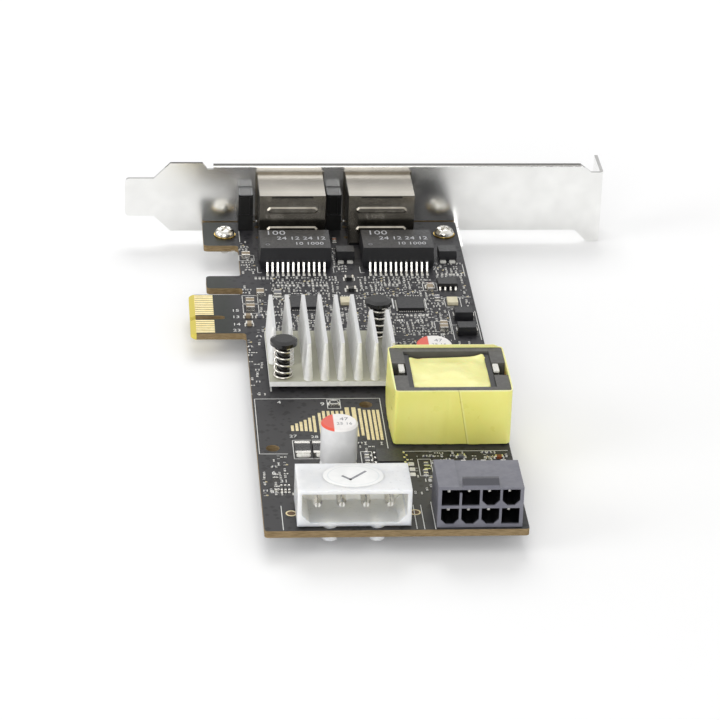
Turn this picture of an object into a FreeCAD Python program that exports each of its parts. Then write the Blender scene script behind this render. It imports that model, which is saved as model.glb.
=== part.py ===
import FreeCAD, Part

import math
import os

from FreeCAD import Vector

# Frame: +X along the bracket, +Y out of the computer through the bracket, +Z on the component side.
# The origin is the middle of the bracket's outer face. Millimetres.
# Pieces are drawn on the board: x as in the frame, depth from the bracket's inner face into the
# computer, height above the board's component side. save() moves them into the frame.

# Bracket
bracket_length = 120.88
bracket_tongue_end = 24.84
bracket_width = 18.42
plate_thickness = 0.86
bend_radius = 0.4
tongue_width = 10.19
tongue_length = 7.27
tongue_corner = 1.2
relief_start = 19.44
relief_slope = 1.3
flange_left_inset = 22.14
flange_right_inset = 5.8
flange_drop = 0.68
flange_reach = 1.5
flange_outer_radius = 0.4
flange_inner_radius = 0.1
wide_end_top_drop = 2.6
wide_end_top_run = 3.1
wide_end_growth = 3.17
wide_end_run = 3.35
wide_end_slope = 3.2
tab_reach = 11.43
slot_width = 4.42
slot_distance = 6.35
slot_run = 5.0
mount_tab_xs = (-35.6, 19.5)
mount_tab_width = 9.2
mount_tab_reach = 12.0
mount_hole_distance = 8.3
hole_through = 3.0

# Board
board_thickness = 1.6
board_gap = 0.5
board_end = 158.0
board_left = -32.55
board_right = 23.07
board_corner = 0.8
ear_left = -41.03
ear_end = 14.66
tooth_start = 32.44
tooth_end = 39.45
inner_corner = 1.0

# Edge connector, with the standard sizes of a one-lane card
connector_left = -45.5
connector_start = 43.0
rear_key_length = 11.65
key_width = 1.9
key_depth = 8.3
front_key_length = 7.65
connector_corner = 0.9
bevel_length = 1.2
bevel_depth = 0.4
slot_inner_x = -32.4
contact_pitch = 1.0
contact_width = 0.7
contact_length = 4.4
contact_inset = 1.3
contact_thickness = 0.05
rear_contact_count = 11
front_contact_count = 7

# Bracket screws
screw_diameter = 2.4
screw_hole = 3.2
tapped_hole = 2.5
screw_length = 5.0
screw_head_diameter = 5.5
screw_head_height = 2.0
screw_head_edge = 1.2
screw_head_slope = 0.9
cross_width = 0.6
cross_span = 3.0
cross_depth = 1.1

# Network jacks
jack_xs = (-19.15, 2.95)
jack_width = 16.3
jack_height = 13.4
jack_back = 14.6
jack_proud = 0.5
shield_thickness = 0.25
shield_lift = 0.1
cutout_clearance = 0.15
fit_clearance = 0.05
rib_length = 12.6
rib_corner = 0.6
rib_half_height = 0.86
rib_embossing = 0.35
rib_heights = (9.58, 4.35)
crease_length = 10.3
crease_height = 0.4
lip_width = 0.45
lip_thickness = 0.25
shield_leg_distances = (3.4, 9.8)
shield_leg_width = 1.4
leg_below = 1.2
port_width = 11.8
port_height = 6.8
port_depth = 11.6
port_floor = 3.9
latch_width = 6.2
latch_height = 1.6
latch_step_width = 3.6
latch_step_height = 0.7
contact_roof = 12.0
flap_lift = 0.7
contact_channel_width = 9.6
jack_contact_count = 8
jack_contact_pitch = 1.02
jack_contact_width = 0.45
jack_contact_thickness = 0.3
spring_reach = 7.0
spring_drop = 2.6
spring_inset = 0.6
tail_row_gap = 1.2
housing_wall = 1.2

# Indicator stacks beside the jacks
indicator_xs = (-30.3, -8.15)
indicator_width = 3.66
indicator_depth = 5.55
indicator_height = 9.5
indicator_step = 0.7
indicator_lower_height = 4.1
indicator_rib_width = 0.55
indicator_rib_inset = 0.66
indicator_rib_depth = 0.35
indicator_rib_drop = 0.6
lens_heights = (3.0, 7.2)
lens_diameter = 2.9
lens_proud = 0.9
lens_edge = 0.6
lens_hole_clearance = 0.2

# Network transformers
lan_xs = (-18.99, 6.2)
lan_width = 17.7
lan_depth = 11.2
lan_start = 17.65
lan_bottom = 0.4
lan_top = 5.7
lan_draft = 0.25
lead_row_count = 12
lead_pitch = 1.27
lead_width = 0.45
lead_thickness = 0.22
lead_shoulder = 2.3
lead_shoulder_run = 0.75
lead_slope_run = 1.0
lead_foot = 1.4

# Heatsink
sink_centre_x = -13.95
sink_width = 29.0
sink_start = 67.7
sink_end = 93.9
sink_bottom = 1.1
sink_base = 1.2
fin_count = 8
fin_pitch = 3.79
fin_root = 2.1
fin_tip = 0.8
fin_top = 11.8
fin_nose = 1.1
fin_inset = 0.25
fin_short = 8.3
nose_steps = 4
chip_size = 12.0
pad_thickness = 0.3

# Push pins, one at a front corner and one at a rear corner of the heatsink
push_pin_places = ((-25.3, 90.9), (-2.3, 70.2))
push_cap_diameter = 6.2
push_cap_top = 11.8
push_cap_edge = 1.3
push_cap_dome = 0.45
push_shaft_diameter = 3.0
push_hole_clearance = 0.3
push_barb_diameter = 3.9
push_barb_length = 2.0
push_split = 0.7
push_tip_diameter = 2.1
coil_diameter = 4.2
coil_wire = 0.5
coil_turns = 5
coil_runs = 10
wire_sides = 4

# Power transformer
core_x = 10.35
core_distance = 109.65
core_length = 25.3
core_depth = 21.3
core_bottom = 1.2
core_top = 13.2
core_corner = 0.5
core_leg = 3.05
core_yoke = 1.9
core_post_depth = 9.4
core_post_height = 4.4
core_recess_length = 6.0
core_recess_depth = 1.4
core_groove_drop = 1.8
bobbin_wall = 0.8
flange_thickness = 1.1
flange_side_gap = 0.45
bobbin_top_height = 12.7
rail_depth = 19.0
rail_length = 3.0
winding_set_back = 0.6
winding_bottom = 2.0
winding_top = 12.4
winding_corner = 2.6
tape_thickness = 0.15
tape_bottom = 0.35
tape_top = 13.35
transformer_pin_count = 5
transformer_pin_pitch = 3.8
transformer_pin_side = 0.56
transformer_pin_hole = 1.1

# Electrolytic capacitors
capacitor_xs = (-15.5, 8.5)
front_capacitor_distance = 131.9
rear_capacitor_gap = 0.92
capacitor_diameter = 8.0
capacitor_height = 12.0
capacitor_lift = 0.5
capacitor_edge = 0.45
crimp_height = 2.0
crimp_depth = 0.35
crimp_half = 0.6
seal_diameter = 6.4
capacitor_lead_spacing = 3.5
capacitor_lead_side = 0.48
capacitor_lead_hole = 0.9

# Four-way power header
four_x = -13.8
four_width = 23.9
four_front = 157.1
four_back = 145.2
four_bottom = 0.5
four_top = 9.0
four_wall = 0.9
four_floor = 0.85
four_corner = 1.8
four_cavity_depth = 9.9
four_foot = 2.0
four_foot_inset = 1.0
four_pitch = 5.08
four_pin_diameter = 2.1
four_pin_height = 4.6
four_pin_recess = 1.9
four_pin_point = 0.6
four_pin_split = 0.3
four_pin_split_length = 5.0
four_tail = 1.2
four_tail_run = 1.9
peg_spacing = 10.0
peg_diameter = 3.2
peg_end = 3.1

# Eight-way power header
eight_x = 12.56
eight_width = 18.0
eight_front = 157.1
eight_back = 144.95
eight_height = 9.6
eight_pitch = 4.25
eight_cell = 3.75
eight_chamfer = 1.1
eight_floor = 0.75
eight_row_pitch = 4.4
eight_cavity_depth = 10.4
eight_step = 0.25
eight_step_x = 7.95
eight_link_height = 0.75
latch_ramp_width = 7.6
latch_ramp_run = 1.8
latch_ramp_rise = 1.3
latch_ramp_top = 0.8
eight_pin = 1.07
eight_pin_recess = 3.7
eight_pin_taper = 1.4
eight_pin_point = 0.5
eight_tail_runs = (3.0, 0.85)
eight_peg_diameter = 2.4
eight_peg_spacing = 12.75
eight_peg_distance = 151.0
eight_peg_root = 0.5

# Small parts on the component side
# Packages as (x, distance, width, depth, leads in a row, lead pitch, rows on the sides)
small_package_places = (
    (17.3, 38.6, 4.9, 3.9, 4, 1.27, False),
    (-3.95, 127.6, 6.0, 6.1, 3, 2.2, True),
)
small_package_gap = 0.15
small_package_seam = 0.8
small_package_height = 1.5
small_package_draft = 0.12
small_lead_share = 0.33
small_lead_thickness = 0.2
small_lead_run = 1.05
small_lead_knee = 0.42
small_lead_drop = 0.26
network_chip_places = ((-18.1, 48.6), (7.4, 49.5))
network_chip_size = 6.4
network_chip_height = 0.9
crystal_places = ((17.7, 47.9), (-8.0, 47.6))
crystal_size = (2.5, 3.2, 0.8)
suppressor_places = ((18.8, 22.65), (-6.5, 22.65))
suppressor_size = (4.55, 3.8, 2.8)
diode_places = ((19.45, 56.4), (19.45, 64.5))
diode_size = (4.5, 3.4, 2.2)
diode_gap = 0.1
diode_strap = 0.25
diode_strap_share = 0.6
chip_draft = 0.12
chip_cap_share = 0.18
# Ceramic chips and chip resistors as (x, distance, width, depth, height), capped front and rear
chip_places = (
    (-30.9, 21.8, 2.0, 2.2, 1.3),
    (-31.0, 48.3, 2.0, 2.3, 1.3),
    (-31.0, 51.5, 2.0, 2.3, 1.3),
    (13.0, 40.6, 1.4, 3.2, 1.1),
    (14.2, 63.1, 1.9, 2.2, 1.3),
    (-28.3, 43.2, 1.8, 2.6, 1.2),
)
resistor_places = (
    (-22.6, 122.2, 3.3, 5.4, 0.7),
    (-18.7, 122.2, 3.3, 5.4, 0.7),
    (-14.3, 100.7, 1.6, 2.2, 0.6),
    (3.9, 131.6, 1.3, 1.8, 0.6),
    (-29.2, 135.0, 1.2, 1.6, 0.6),
    (-29.1, 140.3, 1.2, 1.6, 0.6),
)

# Plated and plain holes with nothing in them
ring_hole_places = ((-26.6, 150.5), (-0.4, 150.5))
ring_hole = 2.4
plain_hole_places = ((-29.1, 121.4), (-7.2, 101.0))
plain_hole = 3.0

# Leads in their holes, and the flat sides that stand for small round forms
lead_hole_clearance = 0.3
hole_sides = 6
pin_sides = 12
round_sides = 16

# Values that follow from the driving dimensions
plate_middle = bracket_width / 2 - plate_thickness - board_thickness
plate_low = plate_middle - bracket_width / 2
plate_high = plate_middle + bracket_width / 2
plate_left = mount_tab_xs[0] - bracket_tongue_end
plate_right = plate_left + bracket_length
flange_left = plate_left + flange_left_inset
flange_right = plate_right - flange_right_inset
flange_top = plate_high - flange_drop
flange_foot = flange_top - plate_thickness - flange_inner_radius
wide_low = plate_low - wide_end_growth
bend = bend_radius + plate_thickness
underside = -board_thickness
tail_end = underside - leg_below
sink_base_top = sink_bottom + sink_base
sink_middle = (sink_start + sink_end) / 2
connector_end = connector_start + rear_key_length + key_width + front_key_length
core_window_length = core_length - core_leg * 2
core_window_depth = core_depth - core_yoke * 2
flange_depth = core_window_depth - flange_side_gap * 2
winding_depth = flange_depth - winding_set_back * 2
rear_capacitor_reach = core_depth / 2 + tape_thickness + rear_capacitor_gap + capacitor_diameter / 2
capacitor_places = (
    (capacitor_xs[0], front_capacitor_distance),
    (capacitor_xs[1], core_distance - rear_capacitor_reach),
)
four_pin_base = four_front - four_cavity_depth


def at(x, distance, height):
    """A point from its x, its distance behind the bracket and its height above the board."""
    return Vector(x, -distance, height)


def slab(x0, x1, d0, d1, h0, h1):
    """Box between two x, two distances and two heights."""
    return Part.makeBox(x1 - x0, d1 - d0, h1 - h0, at(x0, d1, h0))


def block(x, distance, width, depth, h0, h1):
    """Box centred on x and distance."""
    return slab(x - width / 2, x + width / 2, distance - depth / 2, distance + depth / 2, h0, h1)


def post(x, distance, diameter, h0, h1):
    """Upright round bar."""
    return Part.makeCylinder(diameter / 2, h1 - h0, at(x, distance, h0))


def flat_post(x, distance, diameter, h0, h1, sides):
    """Upright bar with flat sides, for the many small holes and pins."""
    return polygon_bar(at(x, distance, h0), Vector(0, 0, h1 - h0), diameter, sides)


def polygon_bar(start, direction, diameter, sides):
    """Bar with flat sides whose corners lie on the diameter."""
    return face_of(ring_points(start, direction, diameter, sides)).extrude(direction)


def ring_points(centre, direction, diameter, sides):
    """Corners of a regular polygon about a centre, square to a direction."""
    turn = FreeCAD.Rotation(Vector(0, 0, 1), direction)
    points = []
    for index in range(sides):
        angle = 2 * math.pi * (index + 0.5) / sides
        spoke = Vector(math.cos(angle), math.sin(angle), 0) * (diameter / 2)
        points.append(centre + turn.multVec(spoke))
    return points


def face_of(points):
    """Flat face inside straight lines through the points."""
    return Part.Face(Part.makePolygon(points + points[:1]))


def side_prism(x0, x1, corners):
    """Solid between two x whose section is given as (distance, height) corners."""
    return face_of([at(x0, d, h) for d, h in corners]).extrude(Vector(x1 - x0, 0, 0))


def front_prism(d0, d1, corners):
    """Solid between two distances whose section is given as (x, height) corners."""
    return face_of([at(x, d1, h) for x, h in corners]).extrude(Vector(0, d1 - d0, 0))


def rounded_wire(corners, place):
    """Closed wire through (u, v, radius) corners, each rounded by its radius."""
    arcs = {}
    ends = []
    count = len(corners)
    for index in range(count):
        u, v, radius = corners[index]
        corner = place(u, v)
        if radius == 0:
            ends.append((corner, corner))
            continue
        back = (place(*corners[index - 1][:2]) - corner).normalize()
        ahead = (place(*corners[(index + 1) % count][:2]) - corner).normalize()
        half = back.getAngle(ahead) / 2
        run = radius / math.tan(half)
        inward = (back + ahead).normalize()
        middle = corner + inward * (radius / math.sin(half) - radius)
        start = corner + back * run
        finish = corner + ahead * run
        arcs[index] = Part.Arc(start, middle, finish).toShape()
        ends.append((start, finish))
    outline = []
    for index in range(count):
        if index in arcs:
            outline.append(arcs[index])
        leave = ends[index][1]
        reach = ends[(index + 1) % count][0]
        if leave.distanceToPoint(reach) > 1e-6:
            outline.append(Part.makeLine(leave, reach))
    return Part.Wire(outline)


def rounded_solid(corners, place, direction):
    """Solid pushed along a direction from a rounded outline."""
    return Part.Face(rounded_wire(corners, place)).extrude(direction)


def rounded_rectangle(u, v, width, depth, radius):
    """Corners of a rectangle centred on (u, v), all with one radius."""
    left = u - width / 2
    low = v - depth / 2
    return [
        (left, low, radius),
        (left + width, low, radius),
        (left + width, low + depth, radius),
        (left, low + depth, radius),
    ]


def faceted_solid(rings):
    """Solid with flat faces between rings of matching points."""
    faces = [face_of(rings[0]), face_of(rings[-1])]
    for lower, upper in zip(rings, rings[1:]):
        for index in range(len(lower)):
            after = (index + 1) % len(lower)
            faces.append(face_of([lower[index], lower[after], upper[after], upper[index]]))
    shell = Part.Shell(faces)
    shell.sewShape()
    solid = Part.Solid(shell)
    if solid.Volume < 0:
        solid.reverse()
    return solid


def drafted_block(x, distance, width, depth, levels, draft):
    """Moulded body between three levels: widest at the middle one, drawn in at the others."""
    rings = []
    for height, inset in zip(levels, (draft, 0, draft)):
        half_width = width / 2 - inset
        half_depth = depth / 2 - inset
        rings.append([
            at(x - half_width, distance - half_depth, height),
            at(x + half_width, distance - half_depth, height),
            at(x + half_width, distance + half_depth, height),
            at(x - half_width, distance + half_depth, height),
        ])
    return faceted_solid(rings)


def row(count, pitch, centre=0.0):
    """Evenly spaced values about a centre."""
    return [centre + (index - (count - 1) / 2) * pitch for index in range(count)]


def group(solids):
    """Separate solids kept in one node."""
    return solids[0] if len(solids) == 1 else Part.makeCompound(solids)


def fused(solids):
    """One solid from pieces that meet."""
    return solids[0].multiFuse(solids[1:]).removeSplitter()


def save(name, shape):
    """Move a shape from the board into the frame and write it."""
    placed = shape.copy()
    placed.translate(Vector(0, -plate_thickness, -plate_middle))
    placed.exportStep("parts/" + name + ".step")


# Bracket

def plate_outline():
    """Corners of the flat plate in x and height, with notches where its tabs are bent off."""
    taper = (bracket_width - tongue_width) / 2
    tongue_end = plate_left + tongue_length
    relief_x = plate_left + relief_start
    wide_top = plate_high - wide_end_top_drop
    tab_x = plate_right - bend
    corners = [
        (plate_left, plate_low + taper, tongue_corner),
        (plate_left, plate_high - taper, tongue_corner),
        (tongue_end, plate_high - taper, 0),
        (tongue_end + taper, plate_high, 0),
        (relief_x, plate_high, 0),
        (relief_x + relief_slope, flange_foot, 0),
        (flange_right, flange_foot, 0),
        (flange_right, flange_top, 0),
        (plate_right - wide_end_top_run - wide_end_top_drop, flange_top, 0),
        (plate_right - wide_end_top_run, wide_top, 0),
        (tab_x, wide_top, 0),
        (tab_x, wide_low, 0),
        (plate_right - wide_end_run, wide_low, 0),
        (plate_right - wide_end_run - wide_end_slope, plate_low, 0),
    ]
    for x in reversed(mount_tab_xs):
        corners += [
            (x + mount_tab_width / 2, plate_low, 0),
            (x + mount_tab_width / 2, plate_low + bend, 0),
            (x - mount_tab_width / 2, plate_low + bend, 0),
            (x - mount_tab_width / 2, plate_low, 0),
        ]
    corners += [(tongue_end + taper, plate_low, 0), (tongue_end, plate_low + taper, 0)]
    return corners


def bent_leg(reach, place, direction, outer_radius=bend, inner_radius=bend_radius):
    """Leg folded off the plate: across runs back from the outer face of the bend, along is the reach."""
    root = plate_thickness + inner_radius
    corners = [
        (0, 0, outer_radius),
        (0, reach, 0),
        (-plate_thickness, reach, 0),
        (-plate_thickness, plate_thickness, inner_radius),
        (-root, plate_thickness, 0),
        (-root, 0, 0),
    ]
    return rounded_solid(corners, place, direction)


def bracket():
    """Folded sheet: plate, stiffening flange, screw tab and two tabs under the board."""
    plate = rounded_solid(
        plate_outline(), lambda x, h: at(x, 0, h), Vector(0, plate_thickness, 0))
    flange = bent_leg(
        flange_reach,
        lambda across, along: Vector(flange_left, along, flange_top + across),
        Vector(flange_right - flange_left, 0, 0), flange_outer_radius, flange_inner_radius)
    tab_height = plate_high - wide_end_top_drop - wide_low
    tab = bent_leg(
        tab_reach,
        lambda across, along: Vector(plate_right + across, along, wide_low),
        Vector(0, 0, tab_height))
    pieces = [plate, flange, tab]
    for x in mount_tab_xs:
        pieces.append(bent_leg(
            mount_tab_reach + plate_thickness,
            lambda across, along: Vector(x - mount_tab_width / 2, plate_thickness - along, plate_low - across),
            Vector(mount_tab_width, 0, 0)))
    return fused(pieces).cut(bracket_openings())


def bracket_openings():
    """Tools for the jack windows, the indicator holes, the tapped holes and the screw slot."""
    through = plate_thickness * hole_through
    tools = []
    for x in jack_xs:
        tools.append(slab(
            x - jack_width / 2 - cutout_clearance, x + jack_width / 2 + cutout_clearance,
            -through, plate_thickness, shield_lift - cutout_clearance, jack_height + cutout_clearance))
    for x in indicator_xs:
        for height in lens_heights:
            radius = lens_diameter / 2 + lens_hole_clearance
            tools.append(Part.makeCylinder(
                radius, through, Vector(x, -plate_thickness, height), Vector(0, 1, 0)))
    for x in mount_tab_xs:
        tools.append(post(x, mount_hole_distance, tapped_hole,
                          underside - plate_thickness * 2, underside + plate_thickness))
    slot_centre = wide_low + slot_run
    slot_x = plate_right - plate_thickness * 2
    across = Vector(through, 0, 0)
    end = Part.makeCylinder(
        slot_width / 2, across.Length, Vector(slot_x, slot_distance, slot_centre), across)
    mouth = Part.makeBox(
        across.Length, slot_width, slot_run + plate_thickness,
        Vector(slot_x, slot_distance - slot_width / 2, wide_low - plate_thickness))
    return tools + [end, mouth]


def cross_recess(x, distance, top):
    """Cross-shaped driver recess."""
    long_way = block(x, distance, cross_span, cross_width, top - cross_depth, top + 1)
    wide_way = block(x, distance, cross_width, cross_span, top - cross_depth, top + 1)
    return long_way.fuse(wide_way)


def bracket_screw(x):
    """Pan-head screw through the board into its tab."""
    shank = screw_diameter / 2
    head = screw_head_diameter / 2
    profile = [
        (0, screw_head_height),
        (head - screw_head_slope, screw_head_height),
        (head, screw_head_edge),
        (head, 0),
        (shank, 0),
        (shank, -screw_length),
        (0, -screw_length),
    ]
    turned = revolved(profile, x, mount_hole_distance)
    return turned.cut(cross_recess(x, mount_hole_distance, screw_head_height))


def revolved(profile, x, distance):
    """Turned solid from (radius, height) corners about an upright axis."""
    face = face_of([at(x + radius, distance, height) for radius, height in profile])
    return face.revolve(at(x, distance, 0), Vector(0, 0, 1), 360)


# Board

def board_outline():
    """Corners of the board in x and distance, with the ear, the hook tooth and the edge connector."""
    return [
        (ear_left, board_gap, inner_corner),
        (board_right, board_gap, board_corner),
        (board_right, board_end, board_corner),
        (board_left, board_end, board_corner),
        (board_left, connector_end, inner_corner),
        (connector_left, connector_end, connector_corner),
        (connector_left, connector_start, connector_corner),
        (slot_inner_x, connector_start, inner_corner),
        (slot_inner_x, tooth_end, inner_corner),
        (ear_left, tooth_end, inner_corner),
        (ear_left, tooth_start, inner_corner),
        (board_left, tooth_start, inner_corner),
        (board_left, ear_end, inner_corner),
        (ear_left, ear_end, inner_corner),
    ]


def bevel_tools():
    """Wedges that thin the connector's outer edge on both faces."""
    tools = []
    for face_height, way in ((0, -1), (underside, 1)):
        corners = [
            (connector_left, face_height + way * bevel_depth),
            (connector_left, face_height - way),
            (connector_left + bevel_length, face_height - way),
            (connector_left + bevel_length, face_height),
        ]
        tools.append(front_prism(connector_start - 1, connector_end + 1, corners))
    return tools


def key_tool():
    """Notch between the two rows of contacts, with a round end."""
    start = connector_start + rear_key_length
    end_x = connector_left + key_depth - key_width / 2
    notch = slab(connector_left - 1, end_x, start, start + key_width, underside - 1, 1)
    return notch.fuse(post(end_x, start + key_width / 2, key_width, underside - 1, 1))


def wide_holes():
    """Round holes in the board as (x, distance, diameter)."""
    holes = [(x, mount_hole_distance, screw_hole) for x in mount_tab_xs]
    holes += [(x, d, ring_hole) for x, d in ring_hole_places]
    holes += [(x, d, plain_hole) for x, d in plain_hole_places]
    holes += [(x, d, push_shaft_diameter + push_hole_clearance) for x, d in push_pin_places]
    holes += [(x, four_peg_distance(), peg_diameter + fit_clearance * 2) for x in four_peg_xs()]
    eight_peg_hole = eight_peg_diameter + fit_clearance * 2
    holes += [(x, eight_peg_distance, eight_peg_hole) for x in eight_peg_xs()]
    return holes


def lead_holes():
    """Small holes for leads and tails as (x, distance, diameter)."""
    holes = [(x, d, capacitor_lead_hole) for x, d in capacitor_lead_places()]
    holes += [(x, d, transformer_pin_hole) for x, d in transformer_pin_places()]
    four_hole = four_tail * math.sqrt(2) + lead_hole_clearance
    holes += [(x, four_tail_distance(), four_hole) for x in row(4, four_pitch, four_x)]
    eight_hole = eight_pin * math.sqrt(2) + lead_hole_clearance
    for level in (0, 1):
        holes += [(x, eight_tail_distance(level), eight_hole) for x in eight_cell_xs()]
    for centre in jack_xs:
        tail_hole = jack_contact_width + lead_hole_clearance
        holes += [(x, d, tail_hole) for x, d in jack_tail_places(centre)]
        leg_hole = shield_leg_width + lead_hole_clearance
        for side in (-1, 1):
            leg_x = centre + side * (jack_width - shield_thickness) / 2
            holes += [(leg_x, d, leg_hole) for d in shield_leg_distances]
    return holes


def circuit_board():
    """Laminate cut to outline, with its key notch, bevels and holes."""
    plate = rounded_solid(
        board_outline(), lambda x, d: at(x, d, underside), Vector(0, 0, board_thickness))
    tools = bevel_tools() + [key_tool()]
    for x, distance, diameter in wide_holes():
        tools.append(post(x, distance, diameter, underside - 1, 1))
    for x, distance, diameter in lead_holes():
        tools.append(flat_post(x, distance, diameter, underside - 1, 1, hole_sides))
    return plate.cut(tools)


def contact_distances():
    """Middles of the edge contacts: one row each side of the key notch."""
    rear = row(rear_contact_count, contact_pitch, connector_start + rear_key_length / 2)
    front = row(front_contact_count, contact_pitch, connector_end - front_key_length / 2)
    return rear + front


def edge_contacts():
    """Gold fingers on both faces of the connector."""
    fingers = []
    left = connector_left + contact_inset
    for distance in contact_distances():
        for low in (0, underside - contact_thickness):
            fingers.append(slab(
                left, left + contact_length,
                distance - contact_width / 2, distance + contact_width / 2,
                low, low + contact_thickness))
    return group(fingers)


# Network jacks

def embossing(centre, distance, height, inset):
    """Raised bar on the shield's back: cut corners, sloping edges and a flat face."""
    rings = []
    for back, draw in ((-rib_embossing, 0), (0, 0), (rib_embossing, rib_embossing)):
        reach = rib_length / 2 - inset - draw
        half = rib_half_height - inset - draw
        cut = min(rib_corner, half)
        corners = [
            (reach, half - cut), (reach - cut, half), (cut - reach, half), (-reach, half - cut),
            (-reach, cut - half), (cut - reach, -half), (reach - cut, -half), (reach, cut - half),
        ]
        rings.append([at(centre + u, distance + back, height + v) for u, v in corners])
    return faceted_solid(rings)


def jack_shield(centre):
    """Folded shield: embossed back, lip behind the bracket, window at the front and four legs."""
    half = jack_width / 2
    front = -plate_thickness - jack_proud
    outer = slab(centre - half, centre + half, front, jack_back, shield_lift, jack_height)
    inner_half = half - shield_thickness
    inner = slab(centre - inner_half, centre + inner_half, front - 1, jack_back - shield_thickness,
                 shield_lift - 1, jack_height - shield_thickness)
    lip_half = half + lip_width
    lip = slab(centre - lip_half, centre + lip_half, cutout_clearance, cutout_clearance + lip_thickness,
               shield_lift + lip_width, jack_height + lip_width)
    legs = []
    for side in (-1, 1):
        x = centre + side * (half - shield_thickness / 2)
        for distance in shield_leg_distances:
            legs.append(block(x, distance, shield_thickness, shield_leg_width,
                              tail_end, shield_lift + 1))
    ribs = [embossing(centre, jack_back, height, 0) for height in rib_heights]
    hollows = [embossing(centre, jack_back - shield_thickness, height, shield_thickness)
               for height in rib_heights]
    under_flap = slab(centre - half, centre + half, jack_back - shield_thickness, jack_back + 1,
                      -1, flap_lift)
    crease_top = jack_height - shield_thickness
    crease = slab(centre - crease_length / 2, centre + crease_length / 2,
                  jack_back - shield_thickness * 2, jack_back + 1,
                  crease_top - crease_height, crease_top)
    body = fused([outer, lip] + legs + ribs)
    return body.cut([inner, crease, under_flap] + hollows)


def jack_housing(centre):
    """Moulded insert with the port, the latch channel and the open channel of the contacts."""
    half = jack_width / 2 - shield_thickness - fit_clearance
    front = -plate_thickness - jack_proud
    back = jack_back - shield_thickness - fit_clearance
    top = jack_height - shield_thickness - fit_clearance
    body = slab(centre - half, centre + half, front, back, 0, top)
    port = slab(centre - port_width / 2, centre + port_width / 2,
                front - 1, front + port_depth, port_floor, port_floor + port_height)
    latch = slab(centre - latch_width / 2, centre + latch_width / 2,
                 front - 1, front + port_depth, port_floor - latch_height, port_floor + 1)
    step = slab(centre - latch_step_width / 2, centre + latch_step_width / 2,
                front - 1, front + port_depth,
                port_floor - latch_height - latch_step_height, port_floor)
    channel = slab(centre - contact_channel_width / 2, centre + contact_channel_width / 2,
                   front + housing_wall, back + 1, port_floor + port_height - 1, contact_roof)
    well = slab(centre - contact_channel_width / 2, centre + contact_channel_width / 2,
                front + port_depth + housing_wall, back + 1, -1, contact_roof)
    return body.cut([port, latch, step, channel, well])


def jack_tail_distances():
    """Distances of the two staggered rows of contact tails."""
    well = -plate_thickness - jack_proud + port_depth + housing_wall
    rear_row = well + jack_contact_thickness + fit_clearance * 2
    return (rear_row, rear_row + tail_row_gap)


def jack_tail_places(centre):
    """Where the contact tails pass the board, in two staggered rows."""
    rows = jack_tail_distances()
    xs = row(jack_contact_count, jack_contact_pitch, centre)
    return [(x, rows[index % 2]) for index, x in enumerate(xs)]


def jack_contacts(centre):
    """Eight spring contacts: tail, run under the roof and the slope into the port."""
    front = -plate_thickness - jack_proud + housing_wall + spring_inset
    roof = contact_roof
    strip = jack_contact_thickness
    contacts = []
    for x, tail in jack_tail_places(centre):
        corners = [
            (tail - strip / 2, tail_end),
            (tail + strip / 2, tail_end),
            (tail + strip / 2, roof),
            (front, roof),
            (front - strip, roof - strip),
            (front + spring_reach, roof - strip - spring_drop),
            (front + spring_reach, roof - spring_drop),
            (front + strip * 2, roof - strip),
            (tail - strip / 2, roof - strip),
        ]
        half = jack_contact_width / 2
        contacts.append(side_prism(x - half, x + half, corners))
    return group(contacts)


# Indicators

def indicator_housing(x):
    """Stepped black holder with two ribs down its back."""
    half = indicator_width / 2
    front = cutout_clearance
    corners = [
        (front, 0),
        (indicator_depth, 0),
        (indicator_depth, indicator_lower_height),
        (indicator_depth - indicator_step, indicator_lower_height),
        (indicator_depth - indicator_step, indicator_height),
        (front, indicator_height),
    ]
    body = side_prism(x - half, x + half, corners)
    back = indicator_depth - indicator_step
    ribs = []
    for side in (-1, 1):
        rib_x = x + side * (half - indicator_rib_inset)
        ribs.append(block(rib_x, back + indicator_rib_depth / 2, indicator_rib_width,
                          indicator_rib_depth, indicator_lower_height, indicator_height - indicator_rib_drop))
    return fused([body] + ribs)


def indicator_lenses(x):
    """Two light pieces that reach from the holder through the bracket."""
    lenses = []
    outward = Vector(0, 1, 0)
    crown = plate_thickness + lens_proud
    stations = (
        (-cutout_clearance, lens_diameter),
        (crown - lens_edge, lens_diameter),
        (crown, lens_diameter - lens_edge * 2),
    )
    for height in lens_heights:
        rings = [ring_points(Vector(x, y, height), outward, diameter, round_sides)
                 for y, diameter in stations]
        lenses.append(faceted_solid(rings))
    return group(lenses)


# Gull-wing packages

def gull_lead(start, way):
    """Section of a bent lead as (run, height) corners, leaving the body at start towards way."""
    bend = start + way * lead_shoulder_run
    drop = bend + way * lead_slope_run
    toe = drop + way * lead_foot
    return [
        (start, lead_shoulder),
        (bend, lead_shoulder),
        (drop, lead_thickness),
        (toe, lead_thickness),
        (toe, 0),
        (drop - way * lead_thickness, 0),
        (bend - way * lead_thickness, lead_shoulder - lead_thickness),
        (start, lead_shoulder - lead_thickness),
    ]


def lan_middle():
    """Distance of the network transformers' middle line."""
    return lan_start + lan_depth / 2


def lan_body(x):
    """Moulded body of a network transformer."""
    levels = (lan_bottom, lead_shoulder - lead_thickness / 2, lan_top)
    return drafted_block(x, lan_middle(), lan_width, lan_depth, levels, lan_draft)


def lan_leads(x):
    """Two rows of bent leads on the front and back of a network transformer."""
    leads = []
    half = lead_width / 2
    for way in (-1, 1):
        edge = lan_middle() + way * lan_depth / 2
        section = gull_lead(edge, way)
        for lead_x in row(lead_row_count, lead_pitch, x):
            leads.append(side_prism(lead_x - half, lead_x + half, section))
    return group(leads)


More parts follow.
